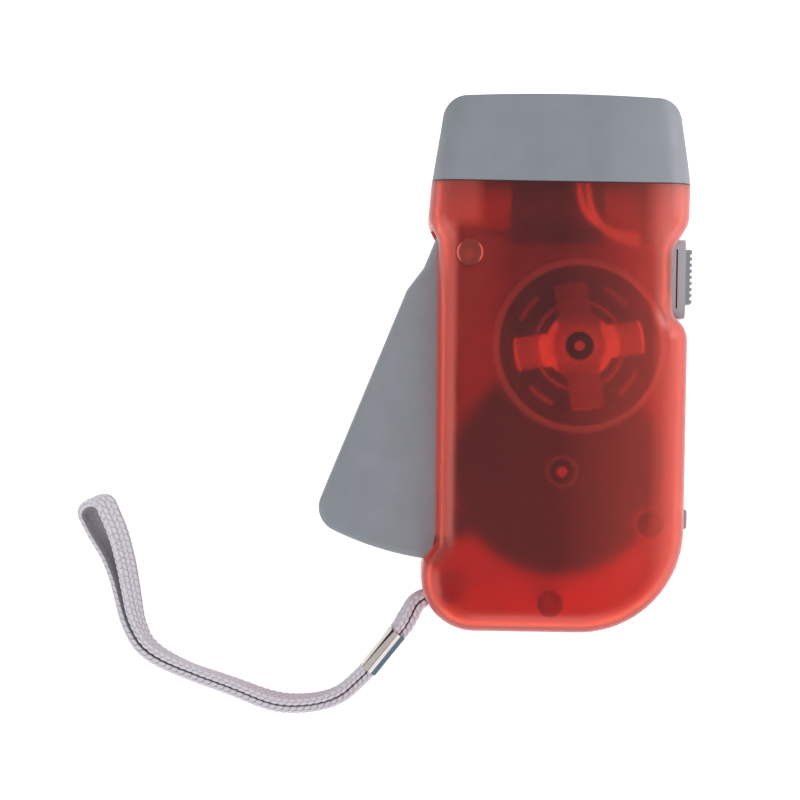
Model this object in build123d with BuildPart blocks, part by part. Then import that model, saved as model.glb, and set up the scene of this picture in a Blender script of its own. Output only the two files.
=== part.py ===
from build123d import *
import os
from math import acos, atan2, copysign, cos, degrees, pi, radians, sin, sqrt, tan

# Hand-squeezed dynamo torch lying on its back: +Y points at the lamp, +X at the switch,
# +Z out of the clear front shell. Millimetres, origin on the back under the middle of the body.

# Housing
body_width = 50.2
tail_length = 51.9
seam_reach = 35.3
thickness = 32.0
wall = 1.8
edge_round = 5.0
tail_left_round = 10.4
tail_right_round = 20.3
shoulder_round = 5.2
recess_round = 2.5
seam_blend = 20.0
# right and left corners of the plan outline: x as a share of half the width, and y as a share of
# the tail length, or for those towards the lamp, of the pivot's setback, measured from the seam
right_shares = [(0.986, -1.0), (0.994, 2.0126), (0.875, 1.8284), (0.875, 0.8955), (0.996, 0.5384)]
left_shares = [(-1.0235, 0.5533), (-0.945, 0.8242), (-0.93, -0.675), (-1.033, -0.749), (-1.04, -1.0)]

# Lamp head
head_length = 17.15
head_middle_inset = 0.75
head_front_inset = 1.85
head_corner_round = 4.8
head_bow = 0.5
spigot_length = 2.4
spigot_wall = 1.2
spigot_opening_share = 0.8
catch_x = -0.1
catch_width = 4.6
catch_length = 1.6
catch_drop = 1.0
window_side = 5.1
window_height = 19.0
window_round = 7.0
lens_thickness = 1.4
lens_flange = 1.2
lamp_count = 3
lamp_pitch_share = 0.325
lamp_radius = 2.5
lamp_length = 5.6
lamp_flange = 0.4
lamp_flange_length = 1.0
lamp_dome = 2.3
cup_gap = 1.0
reflector_depth = 6.2
board_thickness = 1.2

# Clearances
overrun = 1.0
slide_gap = 0.3
seat_gap = 0.05
running_gap = 0.08
end_gap = 0.1

# Squeeze lever and its arc rack, drawn as they stand with the lever squeezed home
pivot_inset = 7.5
pivot_setback = 13.8
lever_swing = 21.7
lever_height = 20.8
lever_reach = 60.1
lever_offset = 8.5
neck_offset = 7.1
neck_length = 6.0
neck_slope = 5.3
neck_head = 5.0
neck_top_share = 0.7
neck_shoulder_share = 0.3
neck_right = 5.2
flange_spread = 15.9
lever_wall = 2.2
lever_round = 5.0
lever_edge = 1.6
hub_wall = 0.8
pivot_boss_radius = 2.6
rack_thickness = 3.0
rack_rim_left = 57.5
rack_rim_right = 53.0
rack_from = 5.0
rack_spaces = 10

# Gear train
pressure_angle = radians(25)
dedendum_share = 1.2
addendum_share = 0.8
drive_module = 0.8
rack_teeth = 127
drive_teeth = 12
drive_width = 4.0
drive_bearing = 23.74
gear_module = 0.6
wheel_teeth = 70
rotor_teeth = 12
wheel_width = 4.0
wheel_web = 1.5
wheel_rim = 1.8
wheel_hub_radius = 3.2
gear_play = 0.16
train_bearing = 83.0
shaft_radius = 1.0
boss_wall = 1.9
back_boss_wall = 1.4
shaft_boss_height = 3.2
washer_thickness = 0.2
ratchet_radius = 6.2
ratchet_step = 1.2
ratchet_teeth = 12
ratchet_thickness = 2.2
pawl_count = 3
pawl_peg_radius = 0.8
pawl_peg_reach = 9.6
pawl_width = 1.1
pawl_thickness = 1.2
pawl_eye_wall = 0.7

# Dynamo
rotor_floor_height = 15.0
cup_floor = 1.2
cup_outer_radius = 15.8
cup_height = 12.0
cup_wall = 0.9
magnet_thickness = 1.75
claw_gap = 0.45
claw_sheet = 0.8
claw_count = 4
claw_width = 6.4
lower_claw_width = 5.5
claw_hub_radius = 6.6
claw_turn = 9.0
claw_stack = 10.8
claw_drop = 8.4
claw_bend_round = 0.7
core_wall = 1.3
bobbin_wall = 0.8
bobbin_radius = 8.8
winding_radius = 8.1
stator_post_radius = 2.7
ring_rib_gap = 1.4
ring_rib_wall = 0.8
ring_rib_height = 2.6
step_radius = 8.5
step_height = 0.5

# Return spring
spring_wire = 0.8
wire_sides = 8
spring_radius = 4.2
spring_pitch = 1.35
spring_turns = 3
spring_fixed_leg = 20.0
spring_lever_leg = 9.0
spring_peg_radius = 0.7
spring_peg_reach = 10.6
low_peg_radius = 1.1
low_peg_reach = 8.2
low_peg_bearing = -12.0

# Screws, posts and tabs
screw_radius = 1.1
screw_head_radius = 2.1
screw_head_height = 1.5
screw_length = 18.0
screw_slot = 0.6
screw_slot_length = 2.9
tail_screw_place_share = (-0.041, -0.8895)
stop_post_place_share = (0.724, -0.587)
strap_post_place_share = (-0.804, -0.858)
post_radius = 2.5
strap_post_radius = 1.8
base_pad_radius = 3.7
tab_width = 3.0
tab_thickness = 0.9
tab_height = 2.6
tab_gap = 0.2
right_tab_shares = [0.052, -0.135, -0.442]
tail_tab_shares = [-0.442, 0.211]

# Switch
knob_length = 10.8
knob_height = 8.0
knob_proud = 1.4
knob_teeth = 9
knob_tooth_depth = 0.45
knob_travel = 2.2
knob_setback = 17.5
stem_width = 2.4
stem_height = 3.0
stem_shift = 2.2
switch_plate_length = 15.4
switch_plate_height = 13.0
switch_plate_proud = 2.85
switch_plate_shift = 0.5
switch_body_length = 9.4
switch_body_depth = 4.6
stem_depth = 2.3
switch_body_height = 9.0
board_length = 8.6
board_height = 13.0
board_rib_width = 5.2
diode_length = 3.2
diode_height = 7.0
diode_depth = 2.6
capacitor_length = 4.0

# Lock
lock_travel = 3.0
lock_nub_length = 3.9
lock_nub_height = 6.2
lock_proud = 1.2
lock_plate = 0.7
lock_place_share = -0.574
lock_finger = 0.8
lock_peg_radius = 0.8
lock_peg_bearing = 45.0
lock_peg_reach = 53.4

# Battery and wiring
cell_radius = 7.75
cell_length = 6.0
cell_count = 3
cell_centre_x = -0.5
cell_step = 0.15
sleeve = 0.2
cell_setback = 11.2
tab_strip = 0.4
tab_strip_width = 4.0
cradle_rib = 1.4
cradle_spread = 5.6
wire_radius = 0.65
# where each lamp wire leaves the head, and the points that it then passes, as shares of half the
# width, of the seam's reach and of the thickness
lamp_wire_exit_shares = [(0.1275, 0.7875), (0.1952, 0.7875)]
lamp_wire_spot_shares = [
    [(0.1355, 1.048, 0.819), (0.1554, 0.895, 0.819), (0.239, 0.799, 0.8125), (0.3825, 0.742, 0.7875)],
    [(0.2032, 1.048, 0.819), (0.2231, 0.895, 0.819), (0.287, 0.799, 0.8125), (0.3964, 0.7054, 0.7875)],
]
lamp_wire_end_shares = [(0.6215, 0.7195, 0.7063), (0.6215, 0.677, 0.7063)]

# Wrist strap
braid_width = 4.6
braid_thickness = 1.5
braid_gap = 0.2
strap_exit_height = 6.6
crimp_wall = 0.3
crimp_gap = 0.15
crimp_length = 9.8
# seam between the two layers: x, y, height of the braid's middle, half the spread of the layers
strap_route = [
    (-24.95, -46.7, 6.6, 0.85),
    (-26.65, -47.3, 6.6, 0.85),
    (-28.3, -50.6, 6.0, 0.85),
    (-30.0, -53.5, 5.0, 0.81),
    (-36.15, -61.5, 3.2, 0.81),
    (-38.4, -63.9, 2.5, 0.81),
    (-41.9, -67.1, 2.5, 0.81),
    (-47.6, -68.7, 2.5, 0.81),
    (-54.8, -68.7, 2.5, 0.81),
    (-63.7, -65.3, 2.5, 0.81),
    (-73.0, -62.4, 2.5, 0.81),
    (-80.9, -58.4, 2.5, 0.88),
    (-83.6, -53.2, 2.5, 0.98),
    (-84.6, -48.4, 2.5, 1.2),
    (-85.8, -42.6, 2.5, 1.45),
    (-87.7, -37.0, 2.5, 1.7),
    (-90.3, -31.8, 2.5, 1.7),
    (-91.6, -28.9, 2.5, 1.6),
]

# Places that follow from the sizes
half_width = body_width / 2
window_width = body_width - 2 * window_side
lamp_pitch = lamp_pitch_share * window_width
cup_radius = (lamp_pitch - cup_gap) / 2
parting = thickness / 2
inner_top = thickness - wall
lever_bottom = parting - lever_height / 2
lever_top = parting + lever_height / 2
hub_radius = pivot_boss_radius + running_gap + hub_wall
rack_radius = drive_module * rack_teeth / 2
drive_radius = drive_module * drive_teeth / 2
wheel_radius = gear_module * wheel_teeth / 2
rotor_radius = gear_module * rotor_teeth / 2
wheel_tip = wheel_radius + gear_module
boss_radius = shaft_radius + boss_wall
pivot = Vector(-half_width + pivot_inset, seam_reach - pivot_setback)
gear_axis = pivot + Vector(0, -1).rotate(Axis.Z, drive_bearing) * (rack_radius - drive_radius)
rotor_axis = gear_axis + Vector(1, 0).rotate(Axis.Z, train_bearing) * (wheel_radius + rotor_radius)
tail_screw = Vector(tail_screw_place_share[0] * half_width, tail_screw_place_share[1] * tail_length)
stop_post = Vector(stop_post_place_share[0] * half_width, stop_post_place_share[1] * tail_length)
strap_post = Vector(strap_post_place_share[0] * half_width, strap_post_place_share[1] * tail_length)
right_side = right_shares[1][0] * half_width
recess_side = right_shares[2][0] * half_width
knob_place = seam_reach - knob_setback
lock_place = lock_place_share * tail_length
cell_back_reach = seam_reach - cell_setback

# Heights of the drive, from the back wall up
drive_bottom = wall + shaft_boss_height + washer_thickness + end_gap
ratchet_bottom = drive_bottom + drive_width
wheel_bottom = ratchet_bottom + ratchet_thickness / 2
web_bottom = ratchet_bottom + ratchet_thickness + slide_gap
wheel_top = wheel_bottom + wheel_width
magnet_radius = cup_outer_radius - cup_wall
claw_radius = magnet_radius - magnet_thickness - claw_gap
ring_rib_radius = cup_outer_radius + ring_rib_gap
cup_top = rotor_floor_height + cup_height
# how far posts and ribs start inside the wall that they grow from
root = wall / 4
spring_top = lever_top - lever_wall - spring_wire / 2 - 2 * slide_gap
stator_top = inner_top - ring_rib_height + claw_sheet
stator_bottom = stator_top - claw_stack


def on_floor(x, y, height):
    """Sketch plane level with the back at this height, centred on x, y."""
    return Plane(origin=(x, y, height))


def lengthwise(y, z):
    """Sketch plane square to the length, facing the lamp."""
    return Plane(origin=(0, y, z), x_dir=(1, 0, 0), z_dir=(0, 1, 0))


def plan_corner(x_share, y_share):
    """Corner of the plan outline."""
    y = seam_reach - y_share * pivot_setback if y_share > 0 else y_share * tail_length
    return x_share * half_width, y


def body_form(inset):
    """The housing's solid form, moved in from the outer skin by inset on every side."""
    reach = seam_reach + edge_round
    right = [plan_corner(*shares) for shares in right_shares]
    left = [plan_corner(*shares) for shares in left_shares]
    ends = [(half_width, seam_reach), (half_width, reach), (-half_width, reach), (-half_width, seam_reach)]
    right_rounds = [tail_right_round, shoulder_round, recess_round, recess_round, shoulder_round]
    left_rounds = [shoulder_round, recess_round, recess_round, shoulder_round, tail_left_round]
    with BuildPart() as form:
        with BuildSketch(Plane.XY.offset(inset)):
            with BuildLine():
                FilletPolyline(
                    *right,
                    *ends,
                    *left,
                    radius=[*right_rounds, seam_blend, 0, 0, seam_blend, *left_rounds],
                    close=True,
                )
            make_face()
            if inset:
                offset(amount=-inset, kind=Kind.INTERSECTION)
        extrude(amount=thickness - 2 * inset)
        for flat in (form.faces().sort_by(Axis.Z)[0], form.faces().sort_by(Axis.Z)[-1]):
            far_end = flat.edges().sort_by(Axis.Y)[-1]
            fillet([edge for edge in flat.edges() if edge != far_end], edge_round - inset)
    return form.part


def flank_angle(teeth, pitch_radius, radius, shift):
    """Half the angle of an involute tooth at a radius, with each flank moved out by shift."""
    base = pitch_radius * cos(pressure_angle)
    slope = acos(min(1, base / radius))
    return pi / 2 / teeth + shift / pitch_radius + involute(pressure_angle) - involute(slope)


def involute(angle):
    return tan(angle) - angle


def polar(radius, angle):
    return Vector(radius * cos(angle), radius * sin(angle))


def gear_points(teeth, module, turn):
    """Outline of a spur gear with a tooth on the bearing turn, in radians."""
    pitch_radius = module * teeth / 2
    foot = pitch_radius - dedendum_share * module
    flank = [max(foot, pitch_radius * cos(pressure_angle)), pitch_radius, pitch_radius + module]
    points = []
    for tooth in range(teeth):
        centre = turn + 2 * pi * tooth / teeth
        half = [flank_angle(teeth, pitch_radius, radius, -gear_play / 4) for radius in flank]
        points.append(polar(foot, centre - half[0]))
        points += [polar(radius, centre - angle) for radius, angle in zip(flank, half)]
        points += [polar(radius, centre + angle) for radius, angle in zip(flank[::-1], half[::-1])]
        points.append(polar(foot, centre + half[0]))
    return [point for i, point in enumerate(points) if (point - points[i - 1]).length > gear_play / 4]


def ring(outer, inner):
    """Flat ring in the sketch that's being drawn."""
    Circle(outer)
    Circle(inner, mode=Mode.SUBTRACT)


skin = body_form(0)
cavity = body_form(wall)
seam_plane = Plane(origin=(0, seam_reach, 0), x_dir=(1, 0, 0), z_dir=(0, 1, 0))

# Cuts that both shells share
strap_start = Vector(strap_route[0][0], strap_route[0][1])
strap_dir = (Vector(strap_route[1][0], strap_route[1][1]) - strap_start).normalized()
strap_out = (strap_start - strap_post).dot(strap_dir)
strap_width = 2 * (strap_route[0][3] + braid_thickness / 2)
lock_wall_x = right_side - wall
with BuildPart() as wall_slots:
    slot_depth = wall + slide_gap
    with BuildSketch(on_floor(pivot.X, pivot.Y, lever_bottom - slide_gap)):
        Circle(lever_reach + slide_gap)
        slot_edge = -half_width + slot_depth + wall - pivot.X
        with Locations((slot_edge, neck_head)):
            Rectangle(half_width, 2 * lever_reach, align=(Align.MAX, Align.MAX), mode=Mode.INTERSECT)
    extrude(amount=lever_height + 2 * slide_gap)
    with Locations((recess_side - wall, knob_place + stem_shift - knob_travel / 2, parting)):
        Box(
            2 * wall + overrun,
            stem_width + knob_travel + 2 * slide_gap,
            stem_height + 2 * slide_gap,
        )
    with Locations((right_side, lock_place + lock_travel / 2, parting)):
        Box(
            2 * (wall + slide_gap),
            lock_nub_length + lock_travel + 2 * slide_gap,
            lock_nub_height + 2 * slide_gap,
        )
    strap_hole_plane = Plane(
        origin=(strap_post.X, strap_post.Y, strap_exit_height),
        x_dir=strap_dir,
        z_dir=(0, 0, 1),
    )
    # way out for the strap's eye, cut clear round its post
    with BuildSketch(strap_hole_plane):
        Circle(strap_post_radius + seat_gap + braid_thickness + slide_gap)
        with Locations((tail_left_round, 0)):
            Rectangle(braid_thickness, strap_width + 2 * slide_gap)
        make_hull()
        Circle(strap_post_radius, mode=Mode.SUBTRACT)
    extrude(amount=braid_width / 2 + slide_gap, both=True)

with BuildPart() as front_shell:
    add(skin)
    add(cavity, mode=Mode.SUBTRACT)
    split(bisect_by=Plane.XY.offset(parting), keep=Keep.TOP)
    split(bisect_by=seam_plane, keep=Keep.BOTTOM)
    # screw and strap posts that meet the back shell's
    with BuildSketch(Plane.XY.offset(parting)):
        for post, radius in (
            (pivot, pivot_boss_radius),
            (tail_screw, post_radius),
            (strap_post, strap_post_radius),
        ):
            with Locations(post):
                Circle(radius)
    extrude(amount=inner_top - parting + root)
    # stop post beside the gear wheel, and the wheel shaft's upper bearing
    with BuildSketch(Plane.XY.offset(wheel_top + slide_gap * 2)):
        with Locations(stop_post):
            Circle(post_radius)
        with Locations(gear_axis):
            Circle(boss_radius)
    extrude(amount=inner_top - wheel_top - slide_gap * 2 + root)
    # post that carries the stator, inside a shallow ring rib
    with BuildSketch(Plane.XY.offset(stator_bottom + claw_sheet)):
        with Locations(rotor_axis):
            Circle(stator_post_radius)
    extrude(amount=inner_top - stator_bottom - claw_sheet + root)
    with BuildSketch(Plane.XY.offset(inner_top - ring_rib_height)):
        with Locations(rotor_axis):
            Circle(ring_rib_radius)
            Circle(ring_rib_radius - ring_rib_wall, mode=Mode.SUBTRACT)
    extrude(amount=ring_rib_height + root)
    # raised round the stator post: a wide step and a narrow one
    for radius in (step_radius, step_radius / 2):
        with BuildSketch(Plane.XY.offset(inner_top - step_height * step_radius / radius)):
            with Locations(rotor_axis):
                ring(radius, radius - ring_rib_wall / 2)
        extrude(amount=step_height * step_radius / radius + root)
    # peg that the return spring's long leg bears on, and a stouter one below it
    with BuildSketch(Plane.XY.offset(spring_top)):
        peg_lift = spring_radius + (spring_wire / 2 + spring_peg_radius + seat_gap)
        with Locations(pivot + Vector(spring_peg_reach, peg_lift)):
            Circle(spring_peg_radius)
        with Locations(pivot + polar(low_peg_reach, radians(low_peg_bearing))):
            Circle(low_peg_radius)
    extrude(amount=inner_top - spring_top + root)
    # catch in the middle of the seam
    with Locations((catch_x, seam_reach, inner_top + root)):
        Box(catch_width, catch_length, catch_drop + root, align=(Align.CENTER, Align.MAX, Align.MAX))
    # tabs that grow from the wall and reach down inside the back shell
    right_tabs = [(right_side - wall, share * tail_length, parting) for share in right_tab_shares]
    tail_tabs = [(share * half_width, wall - tail_length, parting) for share in tail_tab_shares]
    for places, turn in ((right_tabs, 0), (tail_tabs, -90)):
        for place in places:
            with Locations(Plane(origin=place).rotated((0, 0, turn))):
                with Locations((-tab_gap, 0, 0)):
                    Box(tab_thickness, tab_width, tab_height, align=(Align.MAX, Align.CENTER, Align.CENTER))
                with Locations((-tab_gap - tab_thickness, 0, 0)):
                    Box(
                        tab_gap + tab_thickness + wall / 2,
                        tab_width,
                        tab_height / 2,
                        align=(Align.MIN, Align.CENTER, Align.MIN),
                    )
    add(wall_slots.part, mode=Mode.SUBTRACT)
    # bores for the shafts and screws
    for post, radius, depth in (
        (gear_axis, shaft_radius + seat_gap, inner_top - overrun),
        (rotor_axis, shaft_radius + seat_gap, inner_top - overrun),
        (pivot, screw_radius, screw_head_height + screw_length + overrun),
        (tail_screw, screw_radius, screw_head_height + screw_length + overrun),
    ):
        with BuildSketch(Plane.XY):
            with Locations(post):
                Circle(radius)
        extrude(amount=depth, mode=Mode.SUBTRACT)

with BuildPart() as back_shell:
    add(skin)
    add(cavity, mode=Mode.SUBTRACT)
    split(bisect_by=Plane.XY.offset(parting), keep=Keep.BOTTOM)
    split(bisect_by=seam_plane, keep=Keep.BOTTOM)
    with BuildSketch(Plane.XY.offset(wall - root)):
        for post, radius in (
            (pivot, pivot_boss_radius),
            (tail_screw, post_radius),
            (strap_post, strap_post_radius),
        ):
            with Locations(post):
                Circle(radius)
    extrude(amount=parting - wall + root)
    # wider feet round the screw heads, below the lever
    with BuildSketch(Plane.XY.offset(wall - root)):
        with Locations(pivot, tail_screw):
            Circle(base_pad_radius)
    extrude(amount=lever_bottom - slide_gap - wall + root)
    # shaft bosses
    rotor_boss_top = rotor_floor_height - wheel_width - overrun
    for centre, height in ((gear_axis, wall + shaft_boss_height), (rotor_axis, rotor_boss_top)):
        with BuildSketch(Plane.XY.offset(wall - root)):
            with Locations(centre):
                Circle(shaft_radius + back_boss_wall)
        extrude(amount=height - wall + root)
    # ribs that cradle the cells, and one that the circuit board stands on
    cell_y = cell_back_reach + cell_radius
    rib_end = seam_reach - spigot_length - slide_gap
    with Locations(*[(cell_centre_x + side * cradle_spread, rib_end, wall - root) for side in (-1, 1)]):
        Box(
            cradle_rib,
            rib_end - cell_back_reach,
            parting - 2 * wall,
            align=(Align.CENTER, Align.MAX, Align.MIN),
        )
    with BuildSketch(Plane.YZ.offset(cell_centre_x)):
        with Locations((cell_y, parting)):
            Circle(cell_radius + sleeve + seat_gap)
    extrude(amount=cradle_spread + cradle_rib, both=True, mode=Mode.SUBTRACT)
    board_x = recess_side - wall - seat_gap - board_thickness
    board_y = knob_place + stem_shift + switch_body_length / 2 + slide_gap + board_length / 2
    with Locations((board_x + board_thickness / 2, board_y, wall - root)):
        Box(
            2 * board_thickness,
            board_rib_width,
            parting - board_height / 2 - wall + root,
            align=(Align.CENTER, Align.CENTER, Align.MIN),
        )
    add(wall_slots.part, mode=Mode.SUBTRACT)
    # shaft bores, screw ways and head pockets
    for centre in (gear_axis, rotor_axis):
        with BuildSketch(Plane.XY.offset(wall)):
            with Locations(centre):
                Circle(shaft_radius + seat_gap)
        extrude(amount=rotor_floor_height, mode=Mode.SUBTRACT)
    for centre in (pivot, tail_screw):
        with Locations(on_floor(centre.X, centre.Y, 0)):
            with Locations(Rotation(180, 0, 0)):
                CounterBoreHole(
                    screw_radius + running_gap,
                    screw_head_radius + running_gap,
                    screw_head_height + overrun / 2,
                    parting,
                )


# Lamp head: a tapering rounded box over a spigot that plugs into the body
def head_section(y, inset, round_off):
    with BuildSketch(lengthwise(y, parting)) as section:
        RectangleRounded(body_width - 2 * inset, thickness - 2 * inset, round_off)
    return section.sketch


head_front = seam_reach + head_length
with BuildPart() as head_cavity:
    for share, inset in ((0, 0), (0.5, head_middle_inset), (1, head_front_inset)):
        add(head_section(seam_reach + share * head_length, inset + wall, edge_round - wall))
    loft()
    split(bisect_by=lengthwise(head_front - wall, 0), keep=Keep.BOTTOM)
with BuildPart() as head_shell:
    for share, inset in ((0, 0), (0.5, head_middle_inset), (1, head_front_inset)):
        add(head_section(seam_reach + share * head_length, inset, edge_round))
    loft()
    # seen from above, the front is bowed and its corners are wide
    with BuildSketch():
        with BuildLine():
            front_half = half_width - head_front_inset - head_corner_round
            corner_y = head_front - head_bow - head_corner_round
            Polyline(
                (-half_width + head_front_inset, corner_y),
                (-half_width, seam_reach),
                (half_width, seam_reach),
                (half_width - head_front_inset, corner_y),
            )
            front_y = head_front - head_bow
            front_side = half_width - head_front_inset
            RadiusArc((front_side, corner_y), (front_half, front_y), -head_corner_round)
            ThreePointArc((front_half, front_y), (0, head_front), (-front_half, front_y))
            RadiusArc((-front_half, front_y), (-front_side, corner_y), -head_corner_round)
        make_face()
    extrude(amount=thickness, mode=Mode.INTERSECT)
    add(head_cavity.part, mode=Mode.SUBTRACT)
    spigot_inset = wall + seat_gap * 2
    with BuildSketch(lengthwise(seam_reach - spigot_length, parting)):
        for inset in (0, spigot_wall):
            width = body_width - 2 * (spigot_inset + inset)
            height = thickness - 2 * (spigot_inset + inset)
            mode = Mode.SUBTRACT if inset else Mode.ADD
            RectangleRounded(width, height, edge_round - spigot_inset - inset, mode=mode)
        Rectangle(spigot_opening_share * window_width, thickness, mode=Mode.SUBTRACT)
    extrude(amount=spigot_length + spigot_wall)
    with BuildSketch(lengthwise(seam_reach, parting)):
        for inset in (wall / 2, spigot_inset + spigot_wall):
            width = body_width - 2 * inset
            height = thickness - 2 * inset
            mode = Mode.SUBTRACT if inset > wall else Mode.ADD
            RectangleRounded(width, height, edge_round - inset, mode=mode)
    extrude(amount=spigot_wall)
    with BuildSketch(lengthwise(head_front - 2 * wall, parting)):
        RectangleRounded(window_width, window_height, window_round)
    extrude(amount=3 * wall, mode=Mode.SUBTRACT)

lens_back = head_front - wall - seat_gap - lens_thickness
with BuildPart() as lens:
    with BuildSketch(lengthwise(lens_back, parting)):
        RectangleRounded(
            window_width + 2 * lens_flange,
            window_height + 2 * lens_flange,
            window_round + lens_flange,
        )
    extrude(amount=lens_thickness)
    with BuildSketch(lengthwise(lens_back, parting)):
        RectangleRounded(
            window_width - 2 * end_gap, window_height - 2 * end_gap, window_round - end_gap
        )
    extrude(amount=lens_thickness + seat_gap + wall - end_gap)
    fillet(lens.faces().sort_by(Axis.Y)[-1].edges(), lens_thickness / 4)

lamp_places = [(lamp_pitch * (i - (lamp_count - 1) / 2), 0) for i in range(lamp_count)]
reflector_front = lens_back - seat_gap
reflector_back = reflector_front - reflector_depth
with BuildPart() as reflector:
    with BuildSketch(lengthwise(reflector_back, parting)):
        RectangleRounded(
            window_width + 2 * lens_flange,
            window_height + 2 * lens_flange,
            window_round + lens_flange,
        )
    extrude(amount=reflector_depth)
    for place in lamp_places:
        with BuildSketch(lengthwise(reflector_back, parting)) as throat:
            with Locations(place):
                Circle(lamp_radius + lamp_flange + end_gap)
        with BuildSketch(lengthwise(reflector_front, parting)) as mouth:
            with Locations(place):
                Circle(cup_radius)
        loft(mode=Mode.SUBTRACT)

led_board_front = reflector_back - seat_gap
with BuildPart() as led_board:
    with BuildSketch(lengthwise(led_board_front - board_thickness, parting)):
        RectangleRounded(window_width, window_height + lens_flange, window_round / 2)
    extrude(amount=board_thickness)

with BuildPart() as leds:
    with BuildSketch(lengthwise(led_board_front, parting)):
        with Locations(*lamp_places):
            Circle(lamp_radius + lamp_flange)
    extrude(amount=lamp_flange_length)
    with BuildSketch(lengthwise(led_board_front, parting)):
        with Locations(*lamp_places):
            Circle(lamp_radius)
    extrude(amount=lamp_length)
    fillet(leds.faces().group_by(Axis.Y)[-1].edges(), lamp_dome)

# Cells, side by side across the torch, in a thin sleeve with a strip at each end
cell_pitch = cell_length + cell_step
pack_length = cell_pitch * cell_count - cell_step
pack_left = cell_centre_x - pack_length / 2
with BuildPart() as battery_cells:
    for i in range(cell_count):
        with BuildSketch(Plane.YZ.offset(pack_left + i * cell_pitch)):
            with Locations((cell_y, parting)):
                Circle(cell_radius)
        extrude(amount=cell_length)
    ends = battery_cells.edges().filter_by(GeomType.CIRCLE)
    chamfer(ends, cell_length / 8)
with BuildPart() as battery_sleeve:
    with BuildSketch(Plane.YZ.offset(pack_left)):
        with Locations((cell_y, parting)):
            ring(cell_radius + sleeve, cell_radius)
    extrude(amount=pack_length)
with BuildPart() as battery_tabs:
    for x in (pack_left - tab_strip, pack_left + pack_length):
        with Locations((x, cell_y, parting)):
            Box(
                tab_strip,
                tab_strip_width,
                cell_radius + tab_strip_width,
                align=(Align.MIN, Align.CENTER, Align.MIN),
            )

# Slide switch, its outside plate and knob, and the rectifier board beside it
switch_y = knob_place + stem_shift
wall_face_x = recess_side - wall - seat_gap
with BuildPart() as switch_body:
    with Locations((wall_face_x, switch_y, parting)):
        Box(
            switch_body_depth,
            switch_body_length,
            switch_body_height,
            align=(Align.MAX, Align.CENTER, Align.CENTER),
        )
    stem_tip = wall_face_x - stem_depth
    with Locations((wall_face_x + seat_gap, switch_y - knob_travel / 2, parting)):
        Box(
            stem_depth + seat_gap + slide_gap,
            stem_width + knob_travel + 2 * slide_gap,
            stem_height + 2 * slide_gap,
            align=(Align.MAX, Align.CENTER, Align.CENTER),
            mode=Mode.SUBTRACT,
        )
plate_face = recess_side + switch_plate_proud
with BuildPart() as switch_plate:
    plate_middle = knob_place - switch_plate_shift
    with BuildSketch(Plane.YZ.offset(recess_side)):
        with Locations((plate_middle, parting)):
            RectangleRounded(switch_plate_length, switch_plate_height, wall)
        with Locations((switch_y - knob_travel / 2, parting)):
            Rectangle(
                stem_width + knob_travel + 2 * slide_gap,
                stem_height + 2 * slide_gap,
                mode=Mode.SUBTRACT,
            )
    extrude(amount=switch_plate_proud)
    add(body_form(-seat_gap), mode=Mode.SUBTRACT)
knob_back = plate_face + end_gap
with BuildPart() as switch_knob:
    with BuildSketch(Plane.YZ.offset(knob_back)):
        with Locations((knob_place, parting)):
            RectangleRounded(knob_length, knob_height, knob_proud / 2)
    extrude(amount=knob_proud)
    chamfer(switch_knob.faces().sort_by(Axis.X)[-1].edges(), knob_proud / 5)
    # finger grooves across the knob
    groove_pitch = knob_length / knob_teeth
    groove_places = [
        (knob_place + groove_pitch * (i - (knob_teeth - 2) / 2), parting) for i in range(knob_teeth - 1)
    ]
    with BuildSketch(Plane.YZ.offset(knob_back + knob_proud - knob_tooth_depth)):
        with Locations(*groove_places):
            Rectangle(groove_pitch / 2, knob_height)
    extrude(amount=knob_proud, mode=Mode.SUBTRACT)
    with Locations((stem_tip, switch_y, parting)):
        Box(
            knob_back + knob_proud / 2 - stem_tip,
            stem_width,
            stem_height,
            align=(Align.MIN, Align.CENTER, Align.CENTER),
        )
with BuildPart() as circuit_board:
    with Locations((board_x, board_y, parting)):
        Box(
            board_thickness,
            board_length,
            board_height,
            align=(Align.MIN, Align.CENTER, Align.CENTER),
        )
part_x = board_x - seat_gap
capacitor_y = board_y + board_length / 2 - capacitor_length / 2
diode_y = board_y - board_length / 2 + diode_length / 2
with BuildPart() as capacitor:
    with BuildSketch(Plane.YZ.offset(part_x - capacitor_length)):
        with Locations((capacitor_y, parting + board_height / 4)):
            Circle(capacitor_length / 2)
    extrude(amount=capacitor_length)
with BuildPart() as rectifier:
    with Locations((part_x, diode_y, parting + board_height / 5)):
        Box(
            diode_depth,
            diode_length,
            diode_height,
            align=(Align.MAX, Align.CENTER, Align.CENTER),
        )
    chamfer(rectifier.faces().sort_by(Axis.X)[0].edges(), diode_depth / 6)


# Squeeze lever: a channel-shaped grip with hub and arc rack, then swung open
squeezed = Plane(origin=(pivot.X, pivot.Y, 0))
rack_bearing = drive_bearing + lever_swing


def grip_outline(inset, right, head):
    """Grip seen from the front, its outer and lower sides moved in by inset."""
    reach = lever_reach - inset
    outer = inset - lever_offset
    neck = inset - neck_offset
    low = -sqrt(reach**2 - right**2)
    corner = -sqrt(reach**2 - (outer + lever_round) ** 2)
    with BuildSketch() as grip:
        with BuildLine():
            Polyline(
                (right, low),
                (right if inset else neck_right, -neck_length),
                (right if inset else neck_right, head * neck_shoulder_share),
                (right if inset else neck_head * neck_top_share, head),
                (neck if inset else -neck_head * neck_top_share, head),
                (neck, head * neck_shoulder_share),
                (neck, -neck_length),
                (outer, -neck_length - neck_slope),
                (outer, corner + lever_round),
            )
            TangentArc((outer, corner + lever_round), (outer + lever_round, corner), tangent=(0, -1))
            ThreePointArc((outer + lever_round, corner), (0, -reach), (right, low))
        make_face()
    return grip.sketch


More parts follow.
